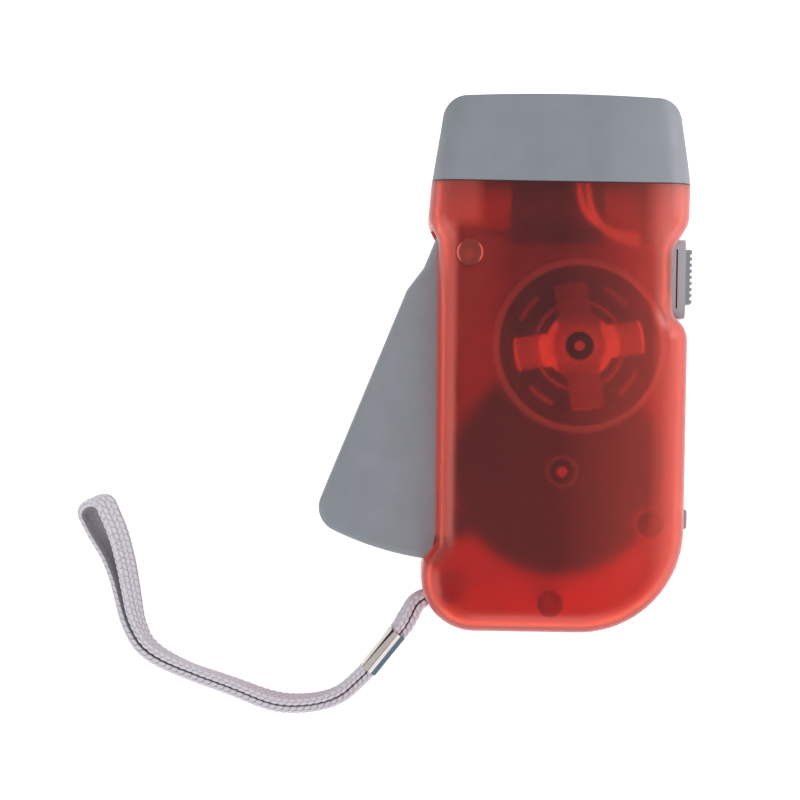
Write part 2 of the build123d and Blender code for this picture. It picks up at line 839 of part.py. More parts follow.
def rack_outline():
    """Arc rack: the spaces of an internal gear on its inner side, and a plain outer rim."""
    pitch_angle = 2 * pi / rack_teeth
    tip = rack_radius - drive_module * addendum_share
    root_radius = rack_radius + drive_module * dedendum_share
    start = radians(rack_from - 90)
    first = radians(rack_bearing - 90) - pitch_angle * (rack_spaces - 2)
    points = [polar(root_radius, start), polar(root_radius, first - pitch_angle / 2)]
    for i in range(rack_spaces):
        centre = first + i * pitch_angle
        radii = (tip, rack_radius, root_radius)
        half = [flank_angle(rack_teeth, rack_radius, r, gear_play / 4) for r in radii]
        points += [polar(r, centre - a) for r, a in zip(radii, half)]
        points += [polar(r, centre + a) for r, a in zip(radii[::-1], half[::-1])]
    stop = centre + pitch_angle / 2
    points.append(polar(tip, stop))
    rim_middle = polar((rack_rim_left + rack_rim_right) / 2, (start + stop) / 2)
    with BuildSketch() as rack:
        with BuildLine():
            Polyline(*points, polar(rack_rim_right, stop))
            ThreePointArc(polar(rack_rim_right, stop), rim_middle, polar(rack_rim_left, start))
            Line(polar(rack_rim_left, start), points[0])
        make_face()
    return rack.sketch


with BuildPart() as arc_rack:
    with BuildSketch(squeezed.offset(lever_bottom)):
        add(rack_outline())
    extrude(amount=rack_thickness)
    # notch in the rim that the lock's peg slides into
    with BuildSketch(squeezed.offset(lever_bottom)):
        with Locations(polar(lock_peg_reach, radians(lock_peg_bearing - 90)) - Vector(0, lock_travel / 2)):
            SlotOverall(
                lock_travel + 2 * (lock_peg_radius + slide_gap),
                2 * (lock_peg_radius + slide_gap),
                rotation=90,
            )
    extrude(amount=rack_thickness, mode=Mode.SUBTRACT)
with BuildPart() as squeeze_lever:
    with BuildSketch(squeezed.offset(lever_bottom)):
        add(grip_outline(0, flange_spread, neck_head))
    extrude(amount=lever_height)
    rims = squeeze_lever.edges().group_by(Axis.Z)
    near_outside = [
        edge
        for edge in rims[0] + rims[-1]
        if edge.center().X < pivot.X - neck_offset + lever_edge
        or (edge.geom_type == GeomType.CIRCLE and edge.center().Y < pivot.Y - lever_reach + lever_round)
    ]
    fillet(near_outside, lever_edge)
    with BuildSketch(squeezed.offset(lever_bottom + lever_wall)):
        add(grip_outline(lever_wall, flange_spread + lever_wall, lever_reach))
        with Locations((lever_wall / 2, -lever_reach)):
            Rectangle(lever_reach, lever_reach, align=(Align.MIN, Align.CENTER))
    extrude(amount=lever_height - 2 * lever_wall, mode=Mode.SUBTRACT)
    with BuildSketch(squeezed.offset(lever_bottom)):
        with Locations(rotor_axis - pivot):
            Circle(cup_outer_radius + slide_gap)
    extrude(amount=lever_height, mode=Mode.SUBTRACT)
    with BuildSketch(squeezed.offset(lever_bottom)):
        Circle(hub_radius)
    extrude(amount=lever_height)
    with BuildSketch(squeezed.offset(lever_bottom)):
        add(rack_outline())
        offset(amount=seat_gap, kind=Kind.INTERSECTION)
    extrude(amount=rack_thickness + seat_gap, mode=Mode.SUBTRACT)
    with BuildSketch(squeezed.offset(lever_bottom - overrun)):
        Circle(pivot_boss_radius + running_gap)
    extrude(amount=lever_height + 2 * overrun, mode=Mode.SUBTRACT)
pivot_line = Axis(tuple(pivot), (0, 0, 1))
squeeze_lever.part = squeeze_lever.part.rotate(pivot_line, -lever_swing)
arc_rack.part = arc_rack.part.rotate(pivot_line, -lever_swing)

# Drive pinion with the saw-toothed ratchet on top
mesh_line = radians(drive_bearing - 90)
with BuildPart() as drive_pinion:
    with BuildSketch(on_floor(gear_axis.X, gear_axis.Y, drive_bottom)):
        with BuildLine():
            Polyline(*gear_points(drive_teeth, drive_module, mesh_line), close=True)
        make_face()
    extrude(amount=drive_width)
    ratchet_angle = 2 * pi / ratchet_teeth
    saw = []
    for i in range(ratchet_teeth):
        saw.append(polar(ratchet_radius, i * ratchet_angle))
        saw.append(polar(ratchet_radius - ratchet_step, i * ratchet_angle))
    with BuildSketch(on_floor(gear_axis.X, gear_axis.Y, ratchet_bottom)):
        with BuildLine():
            Polyline(*saw, close=True)
        make_face()
    extrude(amount=ratchet_thickness)
    with BuildSketch(on_floor(gear_axis.X, gear_axis.Y, drive_bottom)):
        Circle(shaft_radius + running_gap)
    extrude(amount=drive_width + ratchet_thickness, mode=Mode.SUBTRACT)

# Big wheel, with pegs under its web for the pawls
pawl_angles = [360 / pawl_count * i + degrees(ratchet_angle) / 2 for i in range(pawl_count)]
with BuildPart() as gear_wheel:
    with BuildSketch(on_floor(gear_axis.X, gear_axis.Y, wheel_bottom)):
        with BuildLine():
            Polyline(*gear_points(wheel_teeth, gear_module, radians(train_bearing)), close=True)
        make_face()
        Circle(wheel_radius - dedendum_share * gear_module - wheel_rim, mode=Mode.SUBTRACT)
    extrude(amount=wheel_width)
    with BuildSketch(on_floor(gear_axis.X, gear_axis.Y, web_bottom)):
        Circle(wheel_radius - gear_module - wheel_rim)
    extrude(amount=wheel_web)
    with BuildSketch(on_floor(gear_axis.X, gear_axis.Y, web_bottom)):
        Circle(wheel_hub_radius)
    extrude(amount=wheel_top - web_bottom + end_gap)
    with BuildSketch(on_floor(gear_axis.X, gear_axis.Y, ratchet_bottom + end_gap)):
        with PolarLocations(pawl_peg_reach, pawl_count, pawl_angles[0]):
            Circle(pawl_peg_radius)
    extrude(amount=web_bottom - ratchet_bottom)
    with BuildSketch(on_floor(gear_axis.X, gear_axis.Y, web_bottom - overrun)):
        Circle(shaft_radius + running_gap)
    extrude(amount=wheel_width + 2 * overrun, mode=Mode.SUBTRACT)
pawl_bottom = ratchet_bottom + (ratchet_thickness - pawl_thickness) / 2
with BuildPart() as ratchet_pawls:
    for angle in pawl_angles:
        bearing = radians(angle)
        eye = polar(pawl_peg_reach, bearing)
        valley = round(bearing / ratchet_angle - pawl_peg_reach / ratchet_radius) * ratchet_angle
        tip_reach = ratchet_radius - ratchet_step + pawl_width / 2 + slide_gap
        tip = polar(tip_reach, valley + (pawl_width + slide_gap) / 2 / tip_reach)
        arm = eye - tip
        with BuildSketch(on_floor(gear_axis.X, gear_axis.Y, pawl_bottom)):
            with Locations((eye + tip) * 0.5):
                SlotCenterToCenter(arm.length, pawl_width, rotation=degrees(atan2(arm.Y, arm.X)))
            with Locations(eye):
                Circle(pawl_peg_radius + pawl_eye_wall)
                Circle(pawl_peg_radius + seat_gap, mode=Mode.SUBTRACT)
        extrude(amount=pawl_thickness)

# Shafts and washers
with BuildPart() as wheel_shaft:
    with BuildSketch(on_floor(gear_axis.X, gear_axis.Y, wall + end_gap)):
        Circle(shaft_radius)
    extrude(amount=inner_top - overrun - wall - 2 * end_gap)
    chamfer(wheel_shaft.edges().filter_by(GeomType.CIRCLE), shaft_radius / 5)
with BuildPart() as rotor_shaft:
    with BuildSketch(on_floor(rotor_axis.X, rotor_axis.Y, wall + end_gap)):
        Circle(shaft_radius)
    extrude(amount=inner_top - overrun - wall - 2 * end_gap)
    chamfer(rotor_shaft.edges().filter_by(GeomType.CIRCLE), shaft_radius / 5)
with BuildPart() as shaft_washers:
    for centre, height in ((gear_axis, wall + shaft_boss_height), (rotor_axis, rotor_boss_top)):
        with BuildSketch(on_floor(centre.X, centre.Y, height)):
            ring(shaft_radius + back_boss_wall, shaft_radius + seat_gap)
        extrude(amount=washer_thickness)

# Rotor: pinion, cup and ring magnet
rotor_bottom = rotor_boss_top + washer_thickness + end_gap
mesh_space = radians(train_bearing) + pi + pi / rotor_teeth
with BuildPart() as rotor_pinion:
    with BuildSketch(on_floor(rotor_axis.X, rotor_axis.Y, rotor_bottom)):
        with BuildLine():
            Polyline(*gear_points(rotor_teeth, gear_module, mesh_space), close=True)
        make_face()
        Circle(shaft_radius + running_gap, mode=Mode.SUBTRACT)
    extrude(amount=rotor_floor_height - rotor_bottom)
with BuildPart() as rotor_cup:
    with BuildSketch(on_floor(rotor_axis.X, rotor_axis.Y, rotor_floor_height)):
        Circle(cup_outer_radius)
    extrude(amount=cup_height)
    fillet(rotor_cup.faces().sort_by(Axis.Z)[0].edges(), cup_wall)
    with BuildSketch(on_floor(rotor_axis.X, rotor_axis.Y, rotor_floor_height + cup_floor)):
        Circle(magnet_radius)
    extrude(amount=cup_height, mode=Mode.SUBTRACT)
    with BuildSketch(on_floor(rotor_axis.X, rotor_axis.Y, rotor_floor_height)):
        Circle(shaft_radius + running_gap)
    extrude(amount=cup_height, mode=Mode.SUBTRACT)
with BuildPart() as ring_magnet:
    with BuildSketch(on_floor(rotor_axis.X, rotor_axis.Y, rotor_floor_height + cup_floor)):
        ring(magnet_radius - seat_gap, magnet_radius - magnet_thickness)
    extrude(amount=cup_height - cup_floor - end_gap)

# Stator: two claw plates on a core, with the bobbin and its winding between them
core_radius = stator_post_radius + seat_gap + core_wall
claw_bend = claw_radius - claw_sheet


def claw_plate(level, arm_width, turn, fold):
    """Claw plate whose arms turn through a right angle at the rim."""
    arms = {"radius": 0, "count": claw_count, "start_angle": turn}
    with BuildPart() as plate:
        with BuildSketch(on_floor(rotor_axis.X, rotor_axis.Y, level)):
            with PolarLocations(**arms):
                Rectangle(claw_radius, arm_width, align=(Align.MIN, Align.CENTER))
            Circle(claw_hub_radius)
            Circle(claw_radius, mode=Mode.INTERSECT)
            Circle(stator_post_radius + seat_gap, mode=Mode.SUBTRACT)
        extrude(amount=copysign(claw_sheet, fold))
        with BuildSketch(on_floor(rotor_axis.X, rotor_axis.Y, level)):
            with PolarLocations(**arms):
                Rectangle(claw_radius, arm_width, align=(Align.MIN, Align.CENTER))
            Circle(claw_radius, mode=Mode.INTERSECT)
            Circle(claw_bend, mode=Mode.SUBTRACT)
        extrude(amount=fold)
        outside = plate.edges().group_by(Axis.Z)[0 if fold > 0 else -1]
        fillet(outside.filter_by(GeomType.CIRCLE).group_by(SortBy.RADIUS)[-1], claw_bend_round)
    return plate


upper_claws = claw_plate(stator_top, claw_width, claw_turn, -claw_drop)
lower_claws = claw_plate(stator_bottom, lower_claw_width, claw_turn + 180 / claw_count, claw_drop)
core_bottom = stator_bottom + claw_sheet
core_top = stator_top - claw_sheet
with BuildPart() as stator_core:
    with BuildSketch(on_floor(rotor_axis.X, rotor_axis.Y, core_bottom)):
        ring(core_radius, stator_post_radius + seat_gap)
    extrude(amount=core_top - core_bottom)
with BuildPart() as coil_bobbin:
    for height in (core_bottom, core_top - bobbin_wall):
        with BuildSketch(on_floor(rotor_axis.X, rotor_axis.Y, height)):
            Circle(bobbin_radius)
        extrude(amount=bobbin_wall)
    with BuildSketch(on_floor(rotor_axis.X, rotor_axis.Y, core_bottom)):
        Circle(core_radius + bobbin_wall)
    extrude(amount=core_top - core_bottom)
    with BuildSketch(on_floor(rotor_axis.X, rotor_axis.Y, core_bottom)):
        Circle(core_radius + seat_gap / 2)
    extrude(amount=core_top - core_bottom, mode=Mode.SUBTRACT)
with BuildPart() as coil_winding:
    with BuildSketch(on_floor(rotor_axis.X, rotor_axis.Y, core_bottom + bobbin_wall)):
        ring(winding_radius, core_radius + bobbin_wall)
    extrude(amount=core_top - core_bottom - 2 * bobbin_wall)

# Torsion spring round the lever's hub: one leg in the grip, the long one against its peg
with BuildPart() as return_spring:
    swing = radians(lever_swing)
    bearings = [pi - swing] + [pi / 2 - i * pi / 2 for i in range(4 * spring_turns + 1)]
    rim = [
        Vector(pivot.X, pivot.Y, spring_top - spring_pitch * (angle - bearings[-1]) / (2 * pi))
        + polar(spring_radius, angle)
        for angle in bearings
    ]
    climb = Vector(sin(swing), cos(swing), spring_pitch / (2 * pi * spring_radius)).normalized()
    with BuildLine() as coil:
        Line(rim[0] - climb * spring_lever_leg, rim[0])
        heading = climb
        for here, there in zip(rim, rim[1:]):
            turn = TangentArc(here, there, tangent=heading)
            heading = turn % 1
        Line(rim[-1], rim[-1] + heading * spring_fixed_leg)
    coil_path = coil.wires()[0]
    with BuildSketch(Plane(origin=coil_path @ 0, z_dir=coil_path % 0)):
        RegularPolygon(spring_wire / 2, wire_sides)
    sweep(path=coil_path)
print("spring turns stand", round(spring_pitch - spring_wire, 2), "mm apart")

# Screws, driven in from the back
with BuildPart() as housing_screws:
    for centre in (pivot, tail_screw):
        head_seat = screw_head_height + overrun / 2
        with BuildSketch(on_floor(centre.X, centre.Y, head_seat - screw_head_height)):
            Circle(screw_head_radius)
        extrude(amount=screw_head_height - seat_gap)
        with BuildSketch(on_floor(centre.X, centre.Y, head_seat - screw_head_height)):
            Circle(screw_radius - seat_gap)
        extrude(amount=screw_head_height + screw_length)
        with BuildSketch(on_floor(centre.X, centre.Y, head_seat - screw_head_height)):
            Rectangle(screw_slot_length, screw_slot)
            Rectangle(screw_slot, screw_slot_length)
        extrude(amount=screw_head_height / 2, mode=Mode.SUBTRACT)

# Lock: a nub in the side wall with a plate inside, and a peg that catches the rack's notch
plate_x = lock_wall_x - seat_gap * 4
finger_height = lever_bottom + rack_thickness + slide_gap
peg_place = pivot + polar(lock_peg_reach, radians(lock_peg_bearing - 90)) - Vector(0, lock_travel)
with BuildPart() as lock_slider:
    nub_reach = right_side + lock_proud - plate_x
    with Locations((plate_x, lock_place, parting)):
        Box(nub_reach, lock_nub_length, lock_nub_height, align=(Align.MIN, Align.CENTER, Align.CENTER))
    fillet(lock_slider.faces().sort_by(Axis.X)[-1].edges(), lock_proud / 2)
    plate_low = lock_place - lock_nub_length / 2
    with Locations((plate_x, plate_low, finger_height)):
        Box(
            lock_plate,
            lock_nub_length,
            parting + lock_nub_height / 2 - finger_height,
            align=(Align.MAX, Align.MIN, Align.MIN),
        )
        Box(
            lock_plate,
            peg_place.Y - plate_low + lock_peg_radius,
            wheel_bottom - slide_gap - finger_height,
            align=(Align.MAX, Align.MIN, Align.MIN),
        )
    with BuildSketch(Plane.XY.offset(finger_height)):
        with Locations((plate_x, peg_place.Y)):
            Rectangle(plate_x - peg_place.X, 2 * lock_peg_radius, align=(Align.MAX, Align.CENTER))
        with Locations(peg_place):
            Circle(lock_peg_radius)
    extrude(amount=lock_finger)
    with BuildSketch(Plane.XY.offset(lever_bottom + slide_gap)):
        with Locations(peg_place):
            Circle(lock_peg_radius)
    extrude(amount=finger_height - lever_bottom)


def lead(*points):
    """Path along straight runs joined by arcs as large as the runs allow, and the arcs' radii."""
    spots = [Vector(*point) for point in points]
    rounds = []
    for before, here, after in zip(spots, spots[1:], spots[2:]):
        one, two = here - before, after - here
        rounds.append(0.45 * min(one.length, two.length) / tan(radians(one.get_angle(two)) / 2))
    with BuildLine(mode=Mode.PRIVATE) as route:
        FilletPolyline(*spots, radius=rounds)
    path = route.wires()[0]
    return path, rounds


wire_exit_y = led_board_front - board_thickness - end_gap
with BuildPart() as lamp_wires:
    for exit_shares, spots, end in zip(lamp_wire_exit_shares, lamp_wire_spot_shares, lamp_wire_end_shares):
        route = [(x * half_width, y * seam_reach, z * thickness) for x, y, z in (*spots, end)]
        path = lead((exit_shares[0] * half_width, wire_exit_y, exit_shares[1] * thickness), *route)[0]
        with BuildSketch(Plane(origin=path @ 0, z_dir=path % 0)):
            RegularPolygon(wire_radius, wire_sides)
        sweep(path=path)

# Wrist strap: an eye round its post, two layers of flat braid, a crimp and an open end
strap_post_turn = Plane(
    origin=(strap_post.X, strap_post.Y, strap_exit_height - braid_width / 2),
    x_dir=strap_dir,
    z_dir=(0, 0, 1),
)
with BuildPart() as strap_eye:
    with BuildSketch(strap_post_turn):
        Circle(strap_post_radius + seat_gap + braid_thickness)
        with Locations((strap_out, 0)):
            Rectangle(braid_gap, strap_width, align=(Align.MAX, Align.CENTER))
        make_hull()
        Circle(strap_post_radius + seat_gap, mode=Mode.SUBTRACT)
    extrude(amount=braid_width)

route = [Vector(x, y, z) for x, y, z, spread in strap_route]
spreads = [spread for x, y, z, spread in strap_route]
steps = [after - before for before, after in zip(route, route[1:])]
sides = []
for i in range(len(route)):
    before = steps[max(i - 1, 0)].normalized()
    heading = (before + steps[min(i, len(steps) - 1)].normalized()).normalized()
    across = Vector(heading.Y, -heading.X, 0)
    sides.append(across * (1 / heading.dot(before)))
outward = [point + side * spread for point, side, spread in zip(route, sides, spreads)]
homeward = [point - side * spread for point, side, spread in zip(route, sides, spreads)]
strap_path, strap_rounds = lead(*[tuple(v) for v in outward], *[tuple(v) for v in homeward[::-1]])
print("strap bends", [round(radius, 1) for radius in strap_rounds])
with BuildPart() as strap:
    first = strap_path % 0
    with BuildSketch(Plane(origin=strap_path @ 0, x_dir=Vector(0, 0, 1).cross(first), z_dir=first)):
        Rectangle(braid_thickness, braid_width)
    sweep(path=strap_path)
strap_fill = strap.part.volume / (strap_path.length * braid_thickness * braid_width)
print("strap length", round(strap_path.length, 1), "volume share", round(strap_fill, 3))

crimp_from, crimp_to = route[3], route[4]
crimp_run = crimp_to - crimp_from
crimp_across = 2 * (spreads[3] + braid_thickness / 2 + crimp_gap)
crimp_inside = braid_width + 2 * crimp_gap
with BuildPart() as strap_crimp:
    middle = (crimp_from + crimp_to) * 0.5
    frame = Plane(origin=middle, x_dir=Vector(0, 0, 1).cross(crimp_run), z_dir=crimp_run)
    with BuildSketch(frame):
        RectangleRounded(crimp_across + 2 * crimp_wall, crimp_inside + 2 * crimp_wall, 2 * crimp_wall)
        Rectangle(crimp_across, crimp_inside, mode=Mode.SUBTRACT)
    extrude(amount=crimp_length / 2, both=True)


def write(name, piece):
    piece.part.label = name
    export_step(piece.part, f"parts/{name}.step")


pieces = {
    "front_shell": front_shell,
    "back_shell": back_shell,
    "head_shell": head_shell,
    "lens": lens,
    "reflector": reflector,
    "led_board": led_board,
    "leds": leds,
    "battery_cells": battery_cells,
    "battery_sleeve": battery_sleeve,
    "battery_tabs": battery_tabs,
    "switch_body": switch_body,
    "switch_plate": switch_plate,
    "switch_knob": switch_knob,
    "circuit_board": circuit_board,
    "capacitor": capacitor,
    "rectifier": rectifier,
    "lamp_wires": lamp_wires,
    "squeeze_lever": squeeze_lever,
    "arc_rack": arc_rack,
    "return_spring": return_spring,
    "drive_pinion": drive_pinion,
    "gear_wheel": gear_wheel,
    "ratchet_pawls": ratchet_pawls,
    "wheel_shaft": wheel_shaft,
    "rotor_shaft": rotor_shaft,
    "shaft_washers": shaft_washers,
    "rotor_pinion": rotor_pinion,
    "rotor_cup": rotor_cup,
    "ring_magnet": ring_magnet,
    "upper_claws": upper_claws,
    "lower_claws": lower_claws,
    "stator_core": stator_core,
    "coil_bobbin": coil_bobbin,
    "coil_winding": coil_winding,
    "housing_screws": housing_screws,
    "lock_slider": lock_slider,
    "strap_eye": strap_eye,
    "strap": strap,
    "strap_crimp": strap_crimp,
}
os.makedirs("parts", exist_ok=True)
for name, piece in pieces.items():
    write(name, piece)
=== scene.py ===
"""Looks of the squeeze dynamo torch: materials, braided strap, crimp, floor, lights and camera."""

import math

import bpy
import bmesh
from mathutils import Matrix, Vector

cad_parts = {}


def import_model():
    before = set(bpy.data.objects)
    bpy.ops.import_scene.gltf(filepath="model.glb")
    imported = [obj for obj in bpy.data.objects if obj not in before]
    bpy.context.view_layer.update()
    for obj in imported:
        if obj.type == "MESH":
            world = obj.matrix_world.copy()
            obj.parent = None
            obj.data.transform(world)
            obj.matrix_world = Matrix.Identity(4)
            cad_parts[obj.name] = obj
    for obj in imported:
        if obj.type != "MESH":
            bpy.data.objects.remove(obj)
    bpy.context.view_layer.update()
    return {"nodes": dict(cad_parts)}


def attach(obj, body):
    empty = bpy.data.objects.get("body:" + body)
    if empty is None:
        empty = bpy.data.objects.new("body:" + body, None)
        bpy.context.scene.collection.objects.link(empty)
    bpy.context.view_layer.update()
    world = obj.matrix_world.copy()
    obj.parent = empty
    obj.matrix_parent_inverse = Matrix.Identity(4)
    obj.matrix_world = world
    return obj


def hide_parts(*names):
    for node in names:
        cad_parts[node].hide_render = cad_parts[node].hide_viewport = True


MM = 0.001

# Camera: straight above, turned a little, aimed at this point of the part's floor plane
CAMERA_AIM = (-30.65, -7.28)
CAMERA_HEIGHT = 700.0
CAMERA_TURN = math.radians(0.95)
CAMERA_LENS = 155.85
CAMERA_SENSOR = 36.0

# Strap: seam between the two layers (x, y, height of the braid's middle, half the spread)
BRAID_WIDTH = 4.6
BRAID_THICKNESS = 1.5
STRAP_ROUTE = [
    (-24.95, -46.7, 6.6, 0.85),
    (-26.65, -47.3, 6.6, 0.85),
    (-28.3, -50.6, 6.0, 0.85),
    (-30.0, -53.5, 5.0, 0.81),
    (-36.15, -61.5, 3.2, 0.81),
    (-38.4, -63.9, 2.5, 0.81),
    (-41.9, -67.1, 2.5, 0.81),
    (-47.6, -68.7, 2.5, 0.81),
    (-54.8, -68.7, 2.5, 0.81),
    (-63.7, -65.3, 2.5, 0.81),
    (-73.0, -62.4, 2.5, 0.81),
    (-80.9, -58.4, 2.5, 0.88),
    (-83.6, -53.2, 2.5, 0.98),
    (-84.6, -48.4, 2.5, 1.2),
    (-85.8, -42.6, 2.5, 1.45),
    (-87.7, -37.0, 2.5, 1.7),
    (-90.3, -31.8, 2.5, 1.7),
    (-91.6, -28.9, 2.5, 1.6),
]
# at each of those points, the lean of both layers in degrees, and how much further apart they lie
STRAP_LEANS = [4, 12, 18, 10, 4, 3, 6, 10, 14, 8, 3, 13, 26, 40, 47, 50, 53, 54]
STRAP_SWELLS = [1, 1, 1, 1, 1, 1, 1, 1, 1, 1, 1, 1, 1, 1, 1.1, 1.45, 2.15, 2.5]
# the loop's end bulges by this much, within this reach of the seam's end, and only out to this share
# of the layers' spread
STRAP_TIP_BULGE = 0.4
STRAP_TIP_REACH = 2.5
STRAP_TIP_SHARE = 0.92

# Stitches: length along the braid, width of a column round it, slant as a share of the length, how
# plump they are (a lower power is plumper), depth, and the height, 0 to 1, of the plain section
STITCH_LENGTH = 1.4
STITCH_COLUMN = 1.1
STITCH_SLANT = 0.22
STITCH_PLUMPNESS = 0.7
STITCH_DEPTH = 0.24
STITCH_MIDDLE = 0.6

# Braid's mesh: step along it, cells across a face and round an edge, how much of half the thickness
# each rounded edge takes up, and how deep, in halves of the thickness, the inner face begins
BRAID_STEP = 0.2
BRAID_CELLS = 20
BRAID_EDGE_CELLS = 6
BRAID_EDGE_SHARE = 0.8
BRAID_INNER_FROM = 0.9

# Braid's colour: painted shade in the furrows up to the crown's colour over this range of stitch heights.
# Stitches on the inner face are marked by heights this much lower, which the step tells apart, and get
# this much of the inner face's painted shade
BRAID_RAMP = (0.02, 0.55)
BRAID_INNER_DROP = 2
BRAID_INNER_STEP = (-0.9, -0.2)
INNER_SHADE_SHARE = 0.12

# Crimp: its section from the edge of its upper lip round to the lower one, across and up
CRIMP_TURN = 6
CRIMP_LENGTH = 9.8
CRIMP_STEPS = 8
CRIMP_SHEET = 0.2
CRIMP_LIP = (0.95, 1.4)
CRIMP_LIP_POWER = 0.7
CRIMP_SECTION = [
    (0.1, 2.7),
    (0.05, 2.48),
    (0.0, 2.72),
    (-0.7, 2.74),
    (-1.72, 1.9),
    (-1.8, -2.3),
    (-1.4, -2.7),
    (1.4, -2.7),
    (1.75, -2.3),
    (1.7, 2.4),
    (1.6, 2.72),
    (1.5, 2.7),
]
# material slots: chrome, a painted reflection, a painted shadow and a painted highlight; and the strips of
# the section that take the second and the fourth
CRIMP_CHROME, CRIMP_REFLECTION, CRIMP_PAINTED_SHADOW, CRIMP_HIGHLIGHT = range(4)
CRIMP_STRIP_SLOTS = {4: CRIMP_REFLECTION, 3: CRIMP_HIGHLIGHT}
# flap under the open lap, across and up, that carries painted shadow in the slit
CRIMP_FLAP_IN_SHADOW = [(1.52, 2.5), (0.7, 2.46)]

# Floor: half its side, how far it lies below the part, and the light that it gives of its own
FLOOR_REACH = 3000.0
FLOOR_DROP = 0.05
FLOOR_TOP_UP = 0.66

# Sky: white up to the first height, 0 to 1, and this colour from the second one on
SKY_RAMP = (0.55, 0.97)
SKY_TOP = (0.47, 0.51, 0.65, 1)
SKY_STRENGTH = 0.85

# Soft lamps: name, place, side of the lit square, power in watts; all aim at one point
LAMPS = (
    ("key", (620, 300, 420), 420, 2.6),
    ("fill", (-620, -200, 460), 420, 1.2),
    ("front", (60, -640, 420), 360, 0.9),
)
LAMP_AIM = (0, 0, 10)

# Where the screw post and the stator's post stand
PIVOT = (-17.6, 21.5)
STATOR = (3.9, 3.8)

# In the pairs below, a change starts at the first length and is full at the second

# Screw post: a milky disc out to a radius, and on it painted highlights as bright crescents beyond another
# and to the sides
POST_DISC = (2.5, 2.6)
POST_DISC_HAZE = 0.2
POST_HIGHLIGHT = (2.1, 2.3)
POST_HIGHLIGHT_SIDE = (1.5, 2.0)
POST_HIGHLIGHT_HAZE = 0.6

# Claws, from the stator's middle: painted shade dulls the upright arms; on the side arms, out to their
# edge, a painted highlight band comes and goes and the bent end gets a painted highlight; fine painted
# highlights lie at two radii
ARM_SHADE = (3.0, 6.0)
ARM_SHADE_SHARE = 0.75
BAND_COMES = (4.6, 5.6)
BAND_GOES = (7.4, 8.3)
BENT_END = (12.1, 12.5)
SIDE_ARM = (3.8, 4.4)
SIDE_ARM_EDGE = (5.2, 5.6)
CLAW_LINES = (3.35, 8.6)
CLAW_LINE_HALF = 0.15
CLAW_LINE_HIGHLIGHT = 0.35
HIGHLIGHT_NOT_METAL = 0.8

# Head: painted light towards its right side, painted shade at the seam. Switch plate: painted shade in a
# groove down its middle.
# Bobbin: a light rim. Lower claws: painted shade below a height
HEAD_PAINTED_LIGHT_SIDE = (6.0, 26.0)
HEAD_SEAM = (35.45, 35.6)
PLATE_MIDDLE = (23.1, 17.3)
GROOVE_HALF_WIDTH = (0.12, 0.2)
GROOVE_HALF_LENGTH = (5.7, 5.9)
BOBBIN_RIM = (8.2, 8.35)
SHADED_BELOW = (22.0, 25.0)

# Copper winding: pitch of its turns, and how deep their furrows are
WINDING_PITCH = 0.25
WINDING_DEPTH = 0.08

# Zone above the dynamo painted a darker red as shade: left, right, low, high, soft edge
SHADE_ZONE = (-15, 17, 4, 30, 6)
SHADE_ZONE_SHARE = 0.8
SHADED_RED = (0.6, 0.085, 0.055, 1)

# Zones of the red plastic painted hazier and paler as light and highlights: left, right, low, high, soft
# edge, haze, paleness
LIT_HAZE_ZONES = (
    (-30, -14.5, 26, 45, 2.5, 0.18, 0.7),
    (-26, -19.5, -34, 28, 1.2, 0.22, 0.5),
    (16, 40, 21, 45, 4, 0.22, 1.8),
    (17.5, 40, -60, 16, 3, 0.16, 0.6),
    (0, 60, -60, 60, 24, 0.14, 1.2),
)

# Ribs and bosses moulded on the front's inside: x, y, inner and outer radius, haze
MILKY_RINGS = (
    (*STATOR, 15.7, 16.8, 0.08),
    (0.92, -20.6, 2.5, 2.9, 0.05),
)
RING_EDGE = 0.3

# Roughness of the red front and back. With their unevenness of 0.03 both stay above 0.28 all over,
# since the denoiser looks through anything smoother, and patches on either side of that show as specks
FRONT_FROST = 0.31
BACK_FROST = 0.33

# Red of the painted highlights, what the red lets through of the lamps' light, and the claws' steel
HIGHLIGHT_RED = (0.97, 0.38, 0.33, 1)
RED_SHADOW = (0.82, 0.62, 0.58, 1)
TINNED_STEEL = (0.75, 0.73, 0.71, 1)


def linear(red, green, blue):
    """Screen colour, 0 to 255, as the linear values that shaders take."""
    out = []
    for value in (red, green, blue):
        share = value / 255
        out.append(share / 12.92 if share <= 0.04045 else ((share + 0.055) / 1.055) ** 2.4)
    return (*out, 1.0)


def dimmed(colour, share):
    """The colour with this share of its light."""
    return (*(part * share for part in colour[:3]), 1)


SEAM_SHADE = linear(52, 18, 20)
DARK_PLASTIC = linear(26, 26, 30)
BRAID_COLOUR = linear(214, 209, 214)
BRAID_FURROW_SHADE = linear(150, 144, 150)
BRAID_INNER_SHADE = linear(112, 103, 98)


